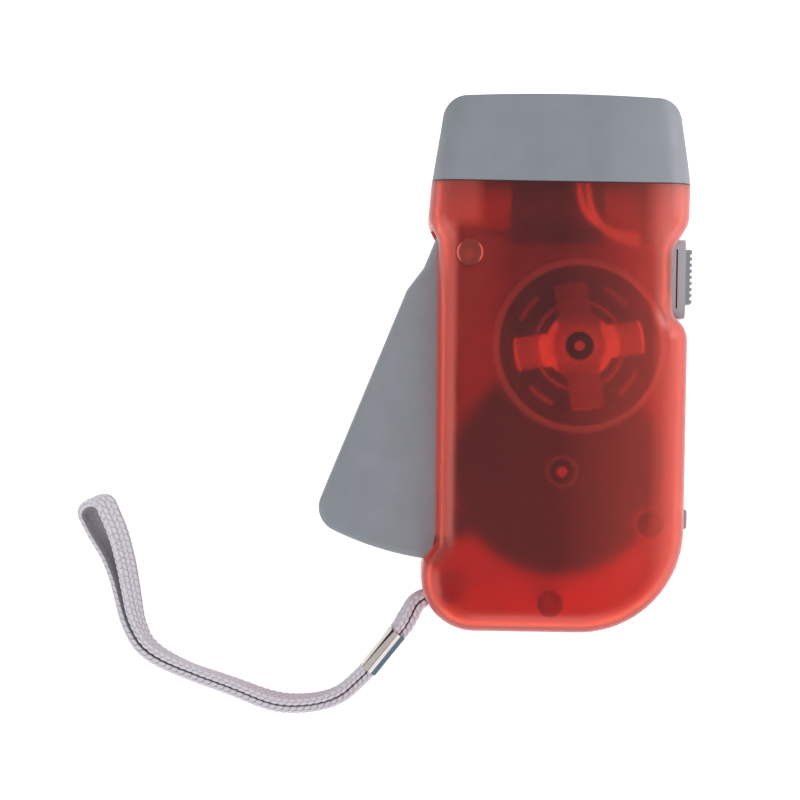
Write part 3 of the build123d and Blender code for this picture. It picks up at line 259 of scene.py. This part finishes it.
class Finish:
    """One material: a Principled shader with noise-driven colour, roughness and bump."""

    def __init__(self, name, colour, roughness=0.5, **sockets):
        self.material = bpy.data.materials.new(name)
        self.material.use_nodes = True
        self.nodes = self.material.node_tree.nodes
        self.links = self.material.node_tree.links
        self.shader = self.nodes["Principled BSDF"]
        self.colour = colour
        self.shader.inputs["Base Color"].default_value = colour
        self.shader.inputs["Roughness"].default_value = roughness
        self.roughness = roughness
        for socket, value in sockets.items():
            self.shader.inputs[socket.replace("_", " ")].default_value = value
        self.place = self.nodes.new("ShaderNodeTexCoord").outputs["Object"]

    def noise(self, size, detail=4.0):
        """Noise whose features are about this many millimetres across."""
        mapping = self.nodes.new("ShaderNodeMapping")
        mapping.inputs["Scale"].default_value = [1 / (size * MM)] * 3
        texture = self.nodes.new("ShaderNodeTexNoise")
        texture.inputs["Scale"].default_value = 1.0
        texture.inputs["Detail"].default_value = detail
        self.links.new(self.place, mapping.inputs["Vector"])
        self.links.new(mapping.outputs["Vector"], texture.inputs["Vector"])
        return texture.outputs["Fac"]

    def ramp(self, source, low, high, start=0.35, end=0.65):
        """Colour or grey ramp between low and high, driven by a 0 to 1 value."""
        node = self.nodes.new("ShaderNodeValToRGB")
        first, last = node.color_ramp.elements
        first.position, last.position = start, end
        first.color = low if hasattr(low, "__len__") else (low, low, low, 1)
        last.color = high if hasattr(high, "__len__") else (high, high, high, 1)
        self.links.new(source, node.inputs["Fac"])
        return node.outputs["Color"]

    def mottle(self, other, size):
        """Patches of another colour."""
        colour = self.ramp(self.noise(size), self.colour, other)
        self.links.new(colour, self.shader.inputs["Base Color"])
        return self

    def uneven(self, change, size):
        """Patches that are rougher or smoother."""
        low, high = self.roughness - change, self.roughness + change
        rough = self.ramp(self.noise(size), max(low, 0.02), min(high, 1.0))
        self.links.new(rough, self.shader.inputs["Roughness"])
        return self

    def grain(self, depth, size):
        """Small bumps, depth and size in millimetres."""
        return self.bump(self.noise(size, 3.0), depth)

    def math(self, operation, one, two=0.0):
        """Output of a math node; either value may be a socket or a number."""
        node = self.nodes.new("ShaderNodeMath")
        node.operation = operation
        for socket, value in zip(node.inputs, (one, two)):
            if isinstance(value, (int, float)):
                socket.default_value = value
            else:
                self.links.new(value, socket)
        return node.outputs["Value"]

    def axis(self, name):
        """The part's own x, y or z, in millimetres."""
        split = self.nodes.new("ShaderNodeSeparateXYZ")
        self.links.new(self.place, split.inputs["Vector"])
        return self.math("MULTIPLY", split.outputs[name], 1 / MM)

    def step(self, value, start, end):
        """0 up to the start, 1 from the end on."""
        node = self.nodes.new("ShaderNodeMapRange")
        node.inputs["From Min"].default_value = start
        node.inputs["From Max"].default_value = end
        self.links.new(value, node.inputs["Value"])
        return node.outputs["Result"]

    def rest(self, mask):
        """What a 0 to 1 value lacks to 1."""
        return self.math("SUBTRACT", 1.0, mask)

    def off(self, name, middle):
        """Distance along one axis from a middle, in millimetres."""
        return self.math("ABSOLUTE", self.math("SUBTRACT", self.axis(name), middle))

    def band(self, value, comes, goes):
        """1 between two steps, each given as its start and end."""
        return self.math("SUBTRACT", self.step(value, *comes), self.step(value, *goes))

    def reach(self, x, y):
        """Distance from an upright line, in millimetres."""
        off_x = self.math("SUBTRACT", self.axis("X"), x)
        off_y = self.math("SUBTRACT", self.axis("Y"), y)
        square = self.math("ADD", self.math("MULTIPLY", off_x, off_x), self.math("MULTIPLY", off_y, off_y))
        return self.math("SQRT", square)

    def zone(self, left, right, low, high, soft):
        """1 in an upright box of the part's x and y, soft at its edges."""
        inside = 1.0
        for name, start, end in (("X", left, right), ("Y", low, high)):
            value = self.axis(name)
            after = self.step(value, start, start + soft)
            before = self.rest(self.step(value, end - soft, end))
            inside = self.math("MULTIPLY", inside, self.math("MULTIPLY", after, before))
        return inside

    def tint(self, mask, other):
        """Another colour where the mask is 1, over what the colour was."""
        node = self.nodes.new("ShaderNodeMix")
        node.data_type = "RGBA"
        self.links.new(mask, node.inputs[0])
        self.links.new(self.shader.inputs["Base Color"].links[0].from_socket, node.inputs[6])
        node.inputs[7].default_value = other
        self.links.new(node.outputs[2], self.shader.inputs["Base Color"])
        return self

    def bump(self, height, depth):
        """Bumps from a 0 to 1 height, over those that are there."""
        node = self.nodes.new("ShaderNodeBump")
        node.inputs["Distance"].default_value = depth * MM
        node.inputs["Strength"].default_value = 1.0
        self.links.new(height, node.inputs["Height"])
        if self.shader.inputs["Normal"].is_linked:
            self.links.new(self.shader.inputs["Normal"].links[0].from_socket, node.inputs["Normal"])
        self.links.new(node.outputs["Normal"], self.shader.inputs["Normal"])
        return self


def clear_red(name, clearness, colour, roughness):
    """Frosted clear red plastic, milky as its clearness falls, that lets the lamps' light in, with painted
    light and shade in zones.
    """
    finish = Finish(name, colour, roughness, Transmission_Weight=clearness, IOR=1.42)
    finish.mottle(dimmed(colour, 0.95), 9)
    finish.uneven(0.03, 3)
    # the screw post under the front reads as a milky disc between two painted highlights, bright crescents
    reach = finish.reach(*PIVOT)
    disc = finish.rest(finish.step(reach, *POST_DISC))
    side = finish.step(finish.off("X", PIVOT[0]), *POST_HIGHLIGHT_SIDE)
    post_highlight = finish.math("MULTIPLY", disc, finish.step(reach, *POST_HIGHLIGHT))
    post_highlight = finish.math("MULTIPLY", finish.math("MULTIPLY", post_highlight, side), POST_HIGHLIGHT_HAZE)
    post = finish.math("ADD", finish.math("MULTIPLY", disc, POST_DISC_HAZE), post_highlight)
    haze = pale = 0.0
    for left, right, low, high, soft, much, paleness in LIT_HAZE_ZONES:
        here = finish.math("MULTIPLY", finish.zone(left, right, low, high, soft), much)
        haze = finish.math("ADD", haze, here)
        pale = finish.math("ADD", pale, finish.math("MULTIPLY", here, paleness))
    for x, y, inner, outer, much in MILKY_RINGS:
        ring = finish.band(finish.reach(x, y), (inner - RING_EDGE, inner), (outer, outer + RING_EDGE))
        haze = finish.math("ADD", haze, finish.math("MULTIPLY", ring, much))
    clear = finish.math("SUBTRACT", clearness, finish.math("ADD", post, haze))
    finish.links.new(clear, finish.shader.inputs["Transmission Weight"])
    # painted shade above the dynamo
    finish.tint(finish.math("MULTIPLY", finish.zone(*SHADE_ZONE), SHADE_ZONE_SHARE), SHADED_RED)
    # painted light and highlights in the hazy zones
    finish.tint(pale, HIGHLIGHT_RED)
    path = finish.nodes.new("ShaderNodeLightPath")
    let_in = finish.nodes.new("ShaderNodeBsdfTransparent")
    let_in.inputs["Color"].default_value = RED_SHADOW
    mix = finish.nodes.new("ShaderNodeMixShader")
    finish.links.new(path.outputs["Is Shadow Ray"], mix.inputs["Fac"])
    finish.links.new(finish.shader.outputs["BSDF"], mix.inputs[1])
    finish.links.new(let_in.outputs["BSDF"], mix.inputs[2])
    finish.links.new(mix.outputs["Shader"], finish.nodes["Material Output"].inputs["Surface"])
    return finish


def moulded_grey(name, colour, grain_size=0.3, roughness=0.5):
    """Matt moulded plastic with a fine spark-eroded grain."""
    finish = Finish(name, colour, roughness, IOR=1.46)
    finish.mottle(dimmed(colour, 0.93), 6)
    finish.uneven(0.06, 2.5)
    return finish.grain(0.025, grain_size)


def metal(name, colour, roughness, change=0.05, size=1.2):
    """Bare or plated metal, a little uneven."""
    finish = Finish(name, colour, roughness, Metallic=1.0)
    finish.mottle(dimmed(colour, 0.85), size * 2)
    finish.uneven(change, size)
    return finish.grain(0.003, size)


def plain_plastic(name, colour, roughness=0.4):
    """Plastic inside the torch, with a faint grain."""
    finish = Finish(name, colour, roughness)
    finish.mottle(dimmed(colour, 0.88), 3)
    return finish.grain(0.012, 0.4)


def braid_finish():
    """Polyester braid: yarn lines over the stitches, with painted shade in the furrows and on the inner
    face.
    """
    finish = Finish("braid", BRAID_COLOUR, 0.85, Sheen_Weight=0.25, Sheen_Roughness=0.4)
    crown = finish.nodes.new("ShaderNodeAttribute")
    crown.attribute_name = "crown"
    colour = finish.ramp(crown.outputs["Fac"], BRAID_FURROW_SHADE, BRAID_COLOUR, *BRAID_RAMP)
    finish.links.new(colour, finish.shader.inputs["Base Color"])
    inner = finish.rest(finish.step(crown.outputs["Fac"], *BRAID_INNER_STEP))
    finish.tint(finish.math("MULTIPLY", inner, INNER_SHADE_SHARE), BRAID_INNER_SHADE)
    return finish.grain(0.05, 0.16)


def lens_finish():
    """Clear moulded lens in front of the lamps."""
    finish = Finish("lens_clear", (0.97, 0.98, 0.99, 1), 0.03, Transmission_Weight=1.0, IOR=1.49)
    return finish.uneven(0.02, 4)


def claw_finish():
    """Tinned steel: painted shade on the upright arms, painted highlights on the side arms and their bent
    ends.
    """
    tin = metal("tinned_steel", TINNED_STEEL, 0.36, change=0.04, size=6)
    reach = tin.reach(*STATOR)
    sideways, upright = tin.off("X", STATOR[0]), tin.off("Y", STATOR[1])
    # painted shade on the upright arms
    tin.tint(tin.math("MULTIPLY", tin.step(upright, *ARM_SHADE), ARM_SHADE_SHARE), (0.25, 0.24, 0.24, 1))
    # painted highlights: white, and less metallic
    claw_highlight = tin.math("ADD", tin.band(reach, BAND_COMES, BAND_GOES), tin.step(reach, *BENT_END))
    claw_highlight = tin.math("MULTIPLY", claw_highlight, tin.step(sideways, *SIDE_ARM))
    claw_highlight = tin.math("MULTIPLY", claw_highlight, tin.rest(tin.step(upright, *SIDE_ARM_EDGE)))
    for radius in CLAW_LINES:
        line = tin.band(reach, (radius - CLAW_LINE_HALF, radius), (radius, radius + CLAW_LINE_HALF))
        claw_highlight = tin.math("ADD", claw_highlight, tin.math("MULTIPLY", line, CLAW_LINE_HIGHLIGHT))
    tin.tint(claw_highlight, (1, 1, 1, 1))
    metallic = tin.rest(tin.math("MULTIPLY", claw_highlight, HIGHLIGHT_NOT_METAL))
    tin.links.new(metallic, tin.shader.inputs["Metallic"])
    return tin


def shaded_tin_finish():
    """The same tinned steel, with painted shade where it lies deep."""
    tin = metal("shaded_tinned_steel", TINNED_STEEL, 0.36, change=0.04, size=6)
    return tin.tint(tin.rest(tin.step(tin.axis("Z"), *SHADED_BELOW)), (0.1, 0.1, 0.1, 1))


def head_finish():
    """Moulded grey, with painted light towards the right and painted shade at the seam."""
    grey = moulded_grey("head_plastic", linear(134, 138, 141))
    grey.tint(grey.step(grey.axis("X"), *HEAD_PAINTED_LIGHT_SIDE), linear(148, 151, 155))
    return grey.tint(grey.rest(grey.step(grey.axis("Y"), *HEAD_SEAM)), SEAM_SHADE)


def plate_finish():
    """Pale moulded grey with painted shade in a groove down its middle."""
    grey = moulded_grey("plate_plastic", linear(172, 183, 189), 0.25, 0.4)
    across = grey.step(grey.off("X", PLATE_MIDDLE[0]), *GROOVE_HALF_WIDTH)
    along = grey.step(grey.off("Y", PLATE_MIDDLE[1]), *GROOVE_HALF_LENGTH)
    return grey.tint(grey.rest(grey.math("MINIMUM", grey.math("ADD", across, along), 1.0)), SEAM_SHADE)


def bobbin_finish():
    """Dark plastic with a light rim."""
    bobbin = plain_plastic("bobbin_plastic", DARK_PLASTIC, 0.6)
    rim = bobbin.math("MULTIPLY", bobbin.step(bobbin.reach(*STATOR), *BOBBIN_RIM), 0.5)
    return bobbin.tint(rim, linear(235, 225, 220))


def lamp_finish():
    """Clear epoxy of the lamps."""
    finish = Finish("lamp_epoxy", (0.96, 0.97, 0.98, 1), 0.06, Transmission_Weight=0.85, IOR=1.5)
    return finish.uneven(0.03, 2)


def winding_finish():
    """Enamelled copper wire, wound in level turns."""
    finish = Finish("copper_winding", (0.62, 0.2, 0.06, 1), 0.3, Metallic=0.9)
    wave = finish.nodes.new("ShaderNodeTexWave")
    wave.bands_direction = "Z"
    wave.inputs["Scale"].default_value = 1 / (WINDING_PITCH * MM) / (2 * math.pi)
    finish.links.new(finish.place, wave.inputs["Vector"])
    return finish.bump(wave.outputs["Fac"], WINDING_DEPTH)


def floor_finish():
    """Near-white floor, topped up to white where it is looked at, mirrored or seen through."""
    finish = Finish("floor", (0.92, 0.92, 0.93, 1), 0.9)
    finish.mottle((0.9, 0.9, 0.91, 1), 60)
    path = finish.nodes.new("ShaderNodeLightPath")
    looked_at = path.outputs["Is Camera Ray"]
    for ray in ("Is Glossy Ray", "Is Transmission Ray"):
        looked_at = finish.math("MAXIMUM", looked_at, path.outputs[ray])
    top_up = finish.math("MULTIPLY", looked_at, FLOOR_TOP_UP)
    finish.links.new(top_up, finish.shader.inputs["Emission Strength"])
    finish.shader.inputs["Emission Color"].default_value = (1, 1, 1, 1)
    return finish


def dress(frame):
    """Gives each CAD node that stays its material, and returns the braid's."""
    braid = braid_finish()
    grey = moulded_grey("grey_plastic", linear(133, 137, 140))
    knob = moulded_grey("knob_plastic", linear(142, 143, 146), 0.25, 0.42)
    dark = plain_plastic("dark_plastic", DARK_PLASTIC, 0.6)
    steel = metal("bright_steel", (0.72, 0.71, 0.7, 1), 0.4)
    finishes = {
        clear_red("clear_red", 0.965, (0.85, 0.12, 0.07, 1), FRONT_FROST): ("front_shell",),
        clear_red("clear_red_back", 0.5, (0.92, 0.12, 0.08, 1), BACK_FROST): ("back_shell",),
        grey: ("squeeze_lever",),
        head_finish(): ("head_shell",),
        knob: ("switch_knob", "lock_slider"),
        plate_finish(): ("switch_plate",),
        dark: ("gear_wheel", "drive_pinion", "ratchet_pawls", "arc_rack"),
        bobbin_finish(): ("coil_bobbin",),
        plain_plastic("white_nylon", linear(222, 218, 208), 0.45): ("rotor_pinion",),
        metal("cup_steel", (0.10, 0.09, 0.095, 1), 0.4): ("rotor_cup",),
        plain_plastic("ferrite", linear(30, 29, 31), 0.7): ("ring_magnet",),
        claw_finish(): ("upper_claws",),
        shaded_tin_finish(): ("lower_claws", "stator_core"),
        steel: ("wheel_shaft", "rotor_shaft", "shaft_washers", "housing_screws", "switch_body"),
        metal("spring_steel", (0.12, 0.11, 0.11, 1), 0.35): ("return_spring",),
        winding_finish(): ("coil_winding",),
        plain_plastic("board", linear(186, 176, 172), 0.5): ("circuit_board", "led_board"),
        plain_plastic("capacitor_sleeve", linear(150, 148, 160), 0.35): ("capacitor",),
        plain_plastic("grey_epoxy", linear(140, 134, 140), 0.5): ("rectifier",),
        plain_plastic("cell_sleeve", linear(28, 30, 44), 0.35): ("battery_sleeve",),
        metal("nickel", (0.62, 0.58, 0.5, 1), 0.25): ("battery_cells", "battery_tabs"),
        plain_plastic("wire_sleeve", linear(250, 246, 240), 0.4): ("lamp_wires",),
        lamp_finish(): ("leds",),
        metal("reflector_chrome", (0.86, 0.87, 0.88, 1), 0.06, change=0.02): ("reflector",),
        lens_finish(): ("lens",),
        braid: ("strap_eye",),
    }
    for finish, names in finishes.items():
        for name in names:
            node = frame["nodes"][name]
            node.data.materials.clear()
            node.data.materials.append(finish.material)
            smooth_curves(node)
    return braid.material


def smooth_curves(node, angle=35):
    """Smooth shading, but for edges sharper than the angle."""
    node.data.shade_smooth()
    node.data.set_sharp_from_angle(angle=math.radians(angle))


def layer_points():
    """Control points of the braid: out along one layer, round the tip and home along the other."""
    route = [Vector((x, y, z)) for x, y, z, spread in STRAP_ROUTE]
    steps = [after - before for before, after in zip(route, route[1:])]
    outward, homeward = [], []
    for i, point in enumerate(route):
        before = steps[max(i - 1, 0)].normalized()
        heading = (before + steps[min(i, len(steps) - 1)].normalized()).normalized()
        across = Vector((heading.y, -heading.x, 0)) / heading.dot(before)
        outward.append(point + across * STRAP_ROUTE[i][3])
        homeward.append(point - across * STRAP_ROUTE[i][3])
    return outward + homeward[::-1]


def spline_line(name, points):
    """Points in metres along the smooth NURBS line that these points control."""
    curve = bpy.data.curves.new(name, "CURVE")
    curve.dimensions = "3D"
    curve.resolution_u = 16
    spline = curve.splines.new("NURBS")
    spline.points.add(len(points) - 1)
    for spot, point in zip(spline.points, points):
        spot.co = (*(point * MM), 1)
    spline.order_u = 3
    spline.use_endpoint_u = True
    holder = bpy.data.objects.new(name, curve)
    mesh = bpy.data.meshes.new_from_object(holder)
    line = [vertex.co.copy() for vertex in mesh.vertices]
    bpy.data.meshes.remove(mesh)
    bpy.data.objects.remove(holder)
    return line


def evenly(line, step):
    """The same line as points one step apart."""
    reach = [0.0]
    for before, after in zip(line, line[1:]):
        reach.append(reach[-1] + (after - before).length)
    count = max(2, round(reach[-1] / step))
    out, i = [], 0
    for k in range(count + 1):
        goal = reach[-1] * k / count
        while i < len(line) - 2 and reach[i + 1] < goal:
            i += 1
        share = (goal - reach[i]) / max(reach[i + 1] - reach[i], 1e-12)
        out.append(line[i].lerp(line[i + 1], min(1.0, share)))
    return out


def seam_frames():
    """Places along the seam: point, heading, lean, half the layers' spread and its swell."""
    seam = spline_line("seam", [Vector(row[:3]) for row in STRAP_ROUTE])
    frames = []
    for i, point in enumerate(seam):
        heading = seam[min(i + 1, len(seam) - 1)] - seam[max(i - 1, 0)]
        reach = i / (len(seam) - 1) * (len(STRAP_ROUTE) - 1)
        low = min(int(reach), len(STRAP_ROUTE) - 2)
        share = reach - low
        lean = STRAP_LEANS[low] + (STRAP_LEANS[low + 1] - STRAP_LEANS[low]) * share
        spread = STRAP_ROUTE[low][3] + (STRAP_ROUTE[low + 1][3] - STRAP_ROUTE[low][3]) * share
        swell = STRAP_SWELLS[low] + (STRAP_SWELLS[low + 1] - STRAP_SWELLS[low]) * share
        frames.append((point, heading.normalized(), math.radians(lean), spread * MM, swell))
    return frames


def leaned(point, frames):
    """The point turned about the seam by the lean there, and that turn."""
    place = min(frames, key=lambda frame: (frame[0] - point).length_squared)
    seam, heading, lean, spread, swell = place
    turn = Matrix.Rotation(-lean, 3, heading)
    lowest = (spread * swell + BRAID_THICKNESS / 2 * MM) * math.sin(lean)
    lowest += BRAID_WIDTH / 2 * MM * math.cos(lean)
    lift = max(0.0, lowest - seam.z)
    apart = point - seam
    along = heading * heading.dot(apart)
    bulge = Vector((0, 0, 0))
    if (frames[-1][0] - seam).length < STRAP_TIP_REACH * MM:
        off = (apart - along).length / spread / STRAP_TIP_SHARE
        bulge = heading * STRAP_TIP_BULGE * MM * max(0.0, 1 - off * off)
    moved = seam + along + bulge + turn @ (apart - along) * swell
    return moved + Vector((0, 0, lift)), turn


def stitch_height(along, around):
    """Height, 0 to 1, of the braid's rows of plump stitches, which slant in turns."""
    column = around / STITCH_COLUMN
    index = math.floor(column)
    side = 2 * (column - index) - 1
    slant = side * (STITCH_SLANT if index % 2 else -STITCH_SLANT)
    step = along / STITCH_LENGTH + 0.5 * (index % 2) + slant
    phase = 2 * (step - math.floor(step)) - 1
    return (1 - side * side) ** STITCH_PLUMPNESS * (1 - phase * phase) ** STITCH_PLUMPNESS


def braid_ring():
    """Section of the braid, across and up in millimetres: two flat faces with rounded edges."""
    half_thick = BRAID_THICKNESS / 2
    round_off = half_thick * BRAID_EDGE_SHARE
    flat = BRAID_WIDTH / 2 - round_off
    ring = []
    for side in (1, -1):
        for i in range(BRAID_CELLS + 1):
            ring.append((side * (-flat + 2 * flat * i / BRAID_CELLS), side * half_thick))
        for i in range(1, BRAID_EDGE_CELLS):
            turn = side * math.pi / 2 - math.pi * i / BRAID_EDGE_CELLS
            ring.append((side * flat + round_off * math.cos(turn), half_thick * math.sin(turn)))
    return ring


def build_strap(braid):
    """Flat braid with real stitches, which leans over where the loop opens."""
    frames = seam_frames()
    flat_line = evenly(spline_line("strap_line", layer_points()), BRAID_STEP * MM)
    line, turns = zip(*[leaned(point, frames) for point in flat_line])
    ring = braid_ring()
    around, normals = [0.0], []
    for i, here in enumerate(ring):
        before, after = ring[i - 1], ring[(i + 1) % len(ring)]
        run = Vector((after[0] - before[0], after[1] - before[1])).normalized()
        normals.append(Vector((-run.y, run.x)))
        around.append(around[-1] + math.dist(here, after))
    columns = round(around[-1] / STITCH_COLUMN / 2) * 2
    stretch = columns * STITCH_COLUMN / around[-1]
    mesh = bpy.data.meshes.new("strap_braid")
    bm = bmesh.new()
    crown = bm.verts.layers.float.new("crown")
    rows = []
    reach = 0.0
    for i, point in enumerate(line):
        reach += (point - line[max(i - 1, 0)]).length
        heading = (line[min(i + 1, len(line) - 1)] - line[max(i - 1, 0)]).normalized()
        wide = turns[i] @ Vector((0, 0, 1))
        wide = (wide - heading * wide.dot(heading)).normalized()
        thick = heading.cross(wide)
        row = []
        for k, (w, t) in enumerate(ring):
            height = stitch_height(reach / MM, around[k] * stretch)
            lift = STITCH_DEPTH * (height - STITCH_MIDDLE)
            w2, t2 = w + normals[k].x * lift, t + normals[k].y * lift
            vertex = bm.verts.new(point + (wide * w2 + thick * t2) * MM)
            inner = t <= -BRAID_THICKNESS / 2 * BRAID_INNER_FROM
            vertex[crown] = height - BRAID_INNER_DROP if inner else height
            row.append(vertex)
        rows.append(row)
    for one, two in zip(rows, rows[1:]):
        for k in range(len(ring)):
            n = (k + 1) % len(ring)
            bm.faces.new((one[k], one[n], two[n], two[k]))
    bm.faces.new(rows[0])
    bm.faces.new(rows[-1][::-1])
    bm.normal_update()
    bmesh.ops.recalc_face_normals(bm, faces=bm.faces)
    bm.to_mesh(mesh)
    bm.free()
    mesh.shade_smooth()
    strap = bpy.data.objects.new("strap_braid", mesh)
    bpy.context.collection.objects.link(strap)
    mesh.materials.append(braid)
    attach(strap, "housing")
    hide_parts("strap")
    build_crimp(frames)


def build_crimp(frames):
    """Chrome sleeve folded round both layers, its open lap wide at the upper end."""
    upper, lower = (Vector(STRAP_ROUTE[i][:3]) * MM for i in (3, 4))
    middle = (upper + lower) / 2
    heading = (lower - upper).normalized()
    place, turn = leaned(middle, frames)
    wide = turn @ Vector((0, 0, 1))
    wide = Matrix.Rotation(math.radians(CRIMP_TURN), 3, heading) @ wide
    wide = (wide - heading * wide.dot(heading)).normalized()
    across = heading.cross(wide)
    bm = bmesh.new()
    rows, shadow_flap_rows = [], []
    for i in range(CRIMP_STEPS + 1):
        share = i / CRIMP_STEPS
        lip = CRIMP_LIP[0] + (CRIMP_LIP[1] - CRIMP_LIP[0]) * share**CRIMP_LIP_POWER
        outline = [(lip, CRIMP_SECTION[0][1]), *CRIMP_SECTION]
        start = place + heading * CRIMP_LENGTH * MM * (share - 0.5)
        rows.append([bm.verts.new(start + (across * a + wide * w) * MM) for a, w in outline])
        shadow_flap_rows.append([bm.verts.new(start + (across * a + wide * w) * MM) for a, w in CRIMP_FLAP_IN_SHADOW])
    for one, two in zip(rows, rows[1:]):
        for k in range(len(one) - 1):
            face = bm.faces.new((one[k], one[k + 1], two[k + 1], two[k]))
            face.material_index = CRIMP_STRIP_SLOTS.get(k, CRIMP_CHROME)
    bmesh.ops.recalc_face_normals(bm, faces=bm.faces)
    bmesh.ops.solidify(bm, geom=bm.faces[:], thickness=CRIMP_SHEET * MM)
    for one, two in zip(shadow_flap_rows, shadow_flap_rows[1:]):
        bm.faces.new((one[0], one[1], two[1], two[0])).material_index = CRIMP_PAINTED_SHADOW
    mesh = bpy.data.meshes.new("crimp_sleeve")
    bm.to_mesh(mesh)
    bm.free()
    crimp = bpy.data.objects.new("crimp_sleeve", mesh)
    bpy.context.collection.objects.link(crimp)
    chrome = Finish("crimp_chrome", linear(206, 199, 188), 0.24, Metallic=0.45).grain(0.01, 0.5)
    # steel-blue painted reflection on the sleeve's side
    painted_reflection = Finish("crimp_painted_reflection", linear(78, 104, 120), 0.3, Metallic=0.5)
    # dark flap as painted shadow under the slit
    inside = Finish("crimp_painted_shadow", linear(34, 29, 28), 0.6, Metallic=0.2)
    # cream-white painted highlight on the sleeve's top
    painted_highlight = Finish("crimp_painted_highlight", linear(250, 246, 238), 0.3, Metallic=0.1)
    for finish in (chrome, painted_reflection, inside, painted_highlight):
        mesh.materials.append(finish.uneven(0.06, 1.5).material)
    smooth_curves(crimp, 25)
    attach(crimp, "housing")
    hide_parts("strap_crimp")
    return crimp


def build_floor():
    """Plain floor just below the part."""
    size, low = FLOOR_REACH * MM, -FLOOR_DROP * MM
    mesh = bpy.data.meshes.new("floor")
    corners = [(-size, -size, low), (size, -size, low), (size, size, low), (-size, size, low)]
    mesh.from_pydata(corners, [], [(0, 1, 2, 3)])
    floor = bpy.data.objects.new("floor", mesh)
    bpy.context.collection.objects.link(floor)
    mesh.materials.append(floor_finish().material)


def softbox(name, place, size, power):
    """Square soft lamp that aims at the part."""
    light = bpy.data.lights.new(name, "AREA")
    light.size = size * MM
    light.energy = power
    holder = bpy.data.objects.new(name, light)
    bpy.context.collection.objects.link(holder)
    holder.location = Vector(place) * MM
    way = Vector(LAMP_AIM) * MM - holder.location
    holder.rotation_mode = "QUATERNION"
    holder.rotation_quaternion = way.to_track_quat("-Z", "Y")


def build_light():
    """White all round, dimmer straight above, where the camera looks down from."""
    world = bpy.data.worlds.new("studio")
    world.use_nodes = True
    nodes, links = world.node_tree.nodes, world.node_tree.links
    place = nodes.new("ShaderNodeTexCoord").outputs["Generated"]
    split = nodes.new("ShaderNodeSeparateXYZ")
    ramp = nodes.new("ShaderNodeValToRGB")
    for element, height, colour in zip(ramp.color_ramp.elements, SKY_RAMP, ((1, 1, 1, 1), SKY_TOP)):
        element.position, element.color = height, colour
    links.new(place, split.inputs["Vector"])
    links.new(split.outputs["Z"], ramp.inputs["Fac"])
    background = nodes["Background"]
    links.new(ramp.outputs["Color"], background.inputs["Color"])
    background.inputs["Strength"].default_value = SKY_STRENGTH
    bpy.context.scene.world = world
    for lamp in LAMPS:
        softbox(*lamp)


def build_camera():
    """Straight above the part, as in the photo."""
    data = bpy.data.cameras.new("camera")
    data.lens = CAMERA_LENS
    data.sensor_width = CAMERA_SENSOR
    data.clip_start = 0.01
    camera = bpy.data.objects.new("camera", data)
    bpy.context.collection.objects.link(camera)
    camera.location = Vector((*CAMERA_AIM, CAMERA_HEIGHT)) * MM
    camera.rotation_euler = (0, 0, CAMERA_TURN)
    bpy.context.scene.camera = camera


def build():
    """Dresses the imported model, adds strap, floor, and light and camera."""
    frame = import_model()
    bpy.context.scene.view_settings.view_transform = "Standard"
    build_strap(dress(frame))
    build_floor()
    build_light()
    build_camera()


build()
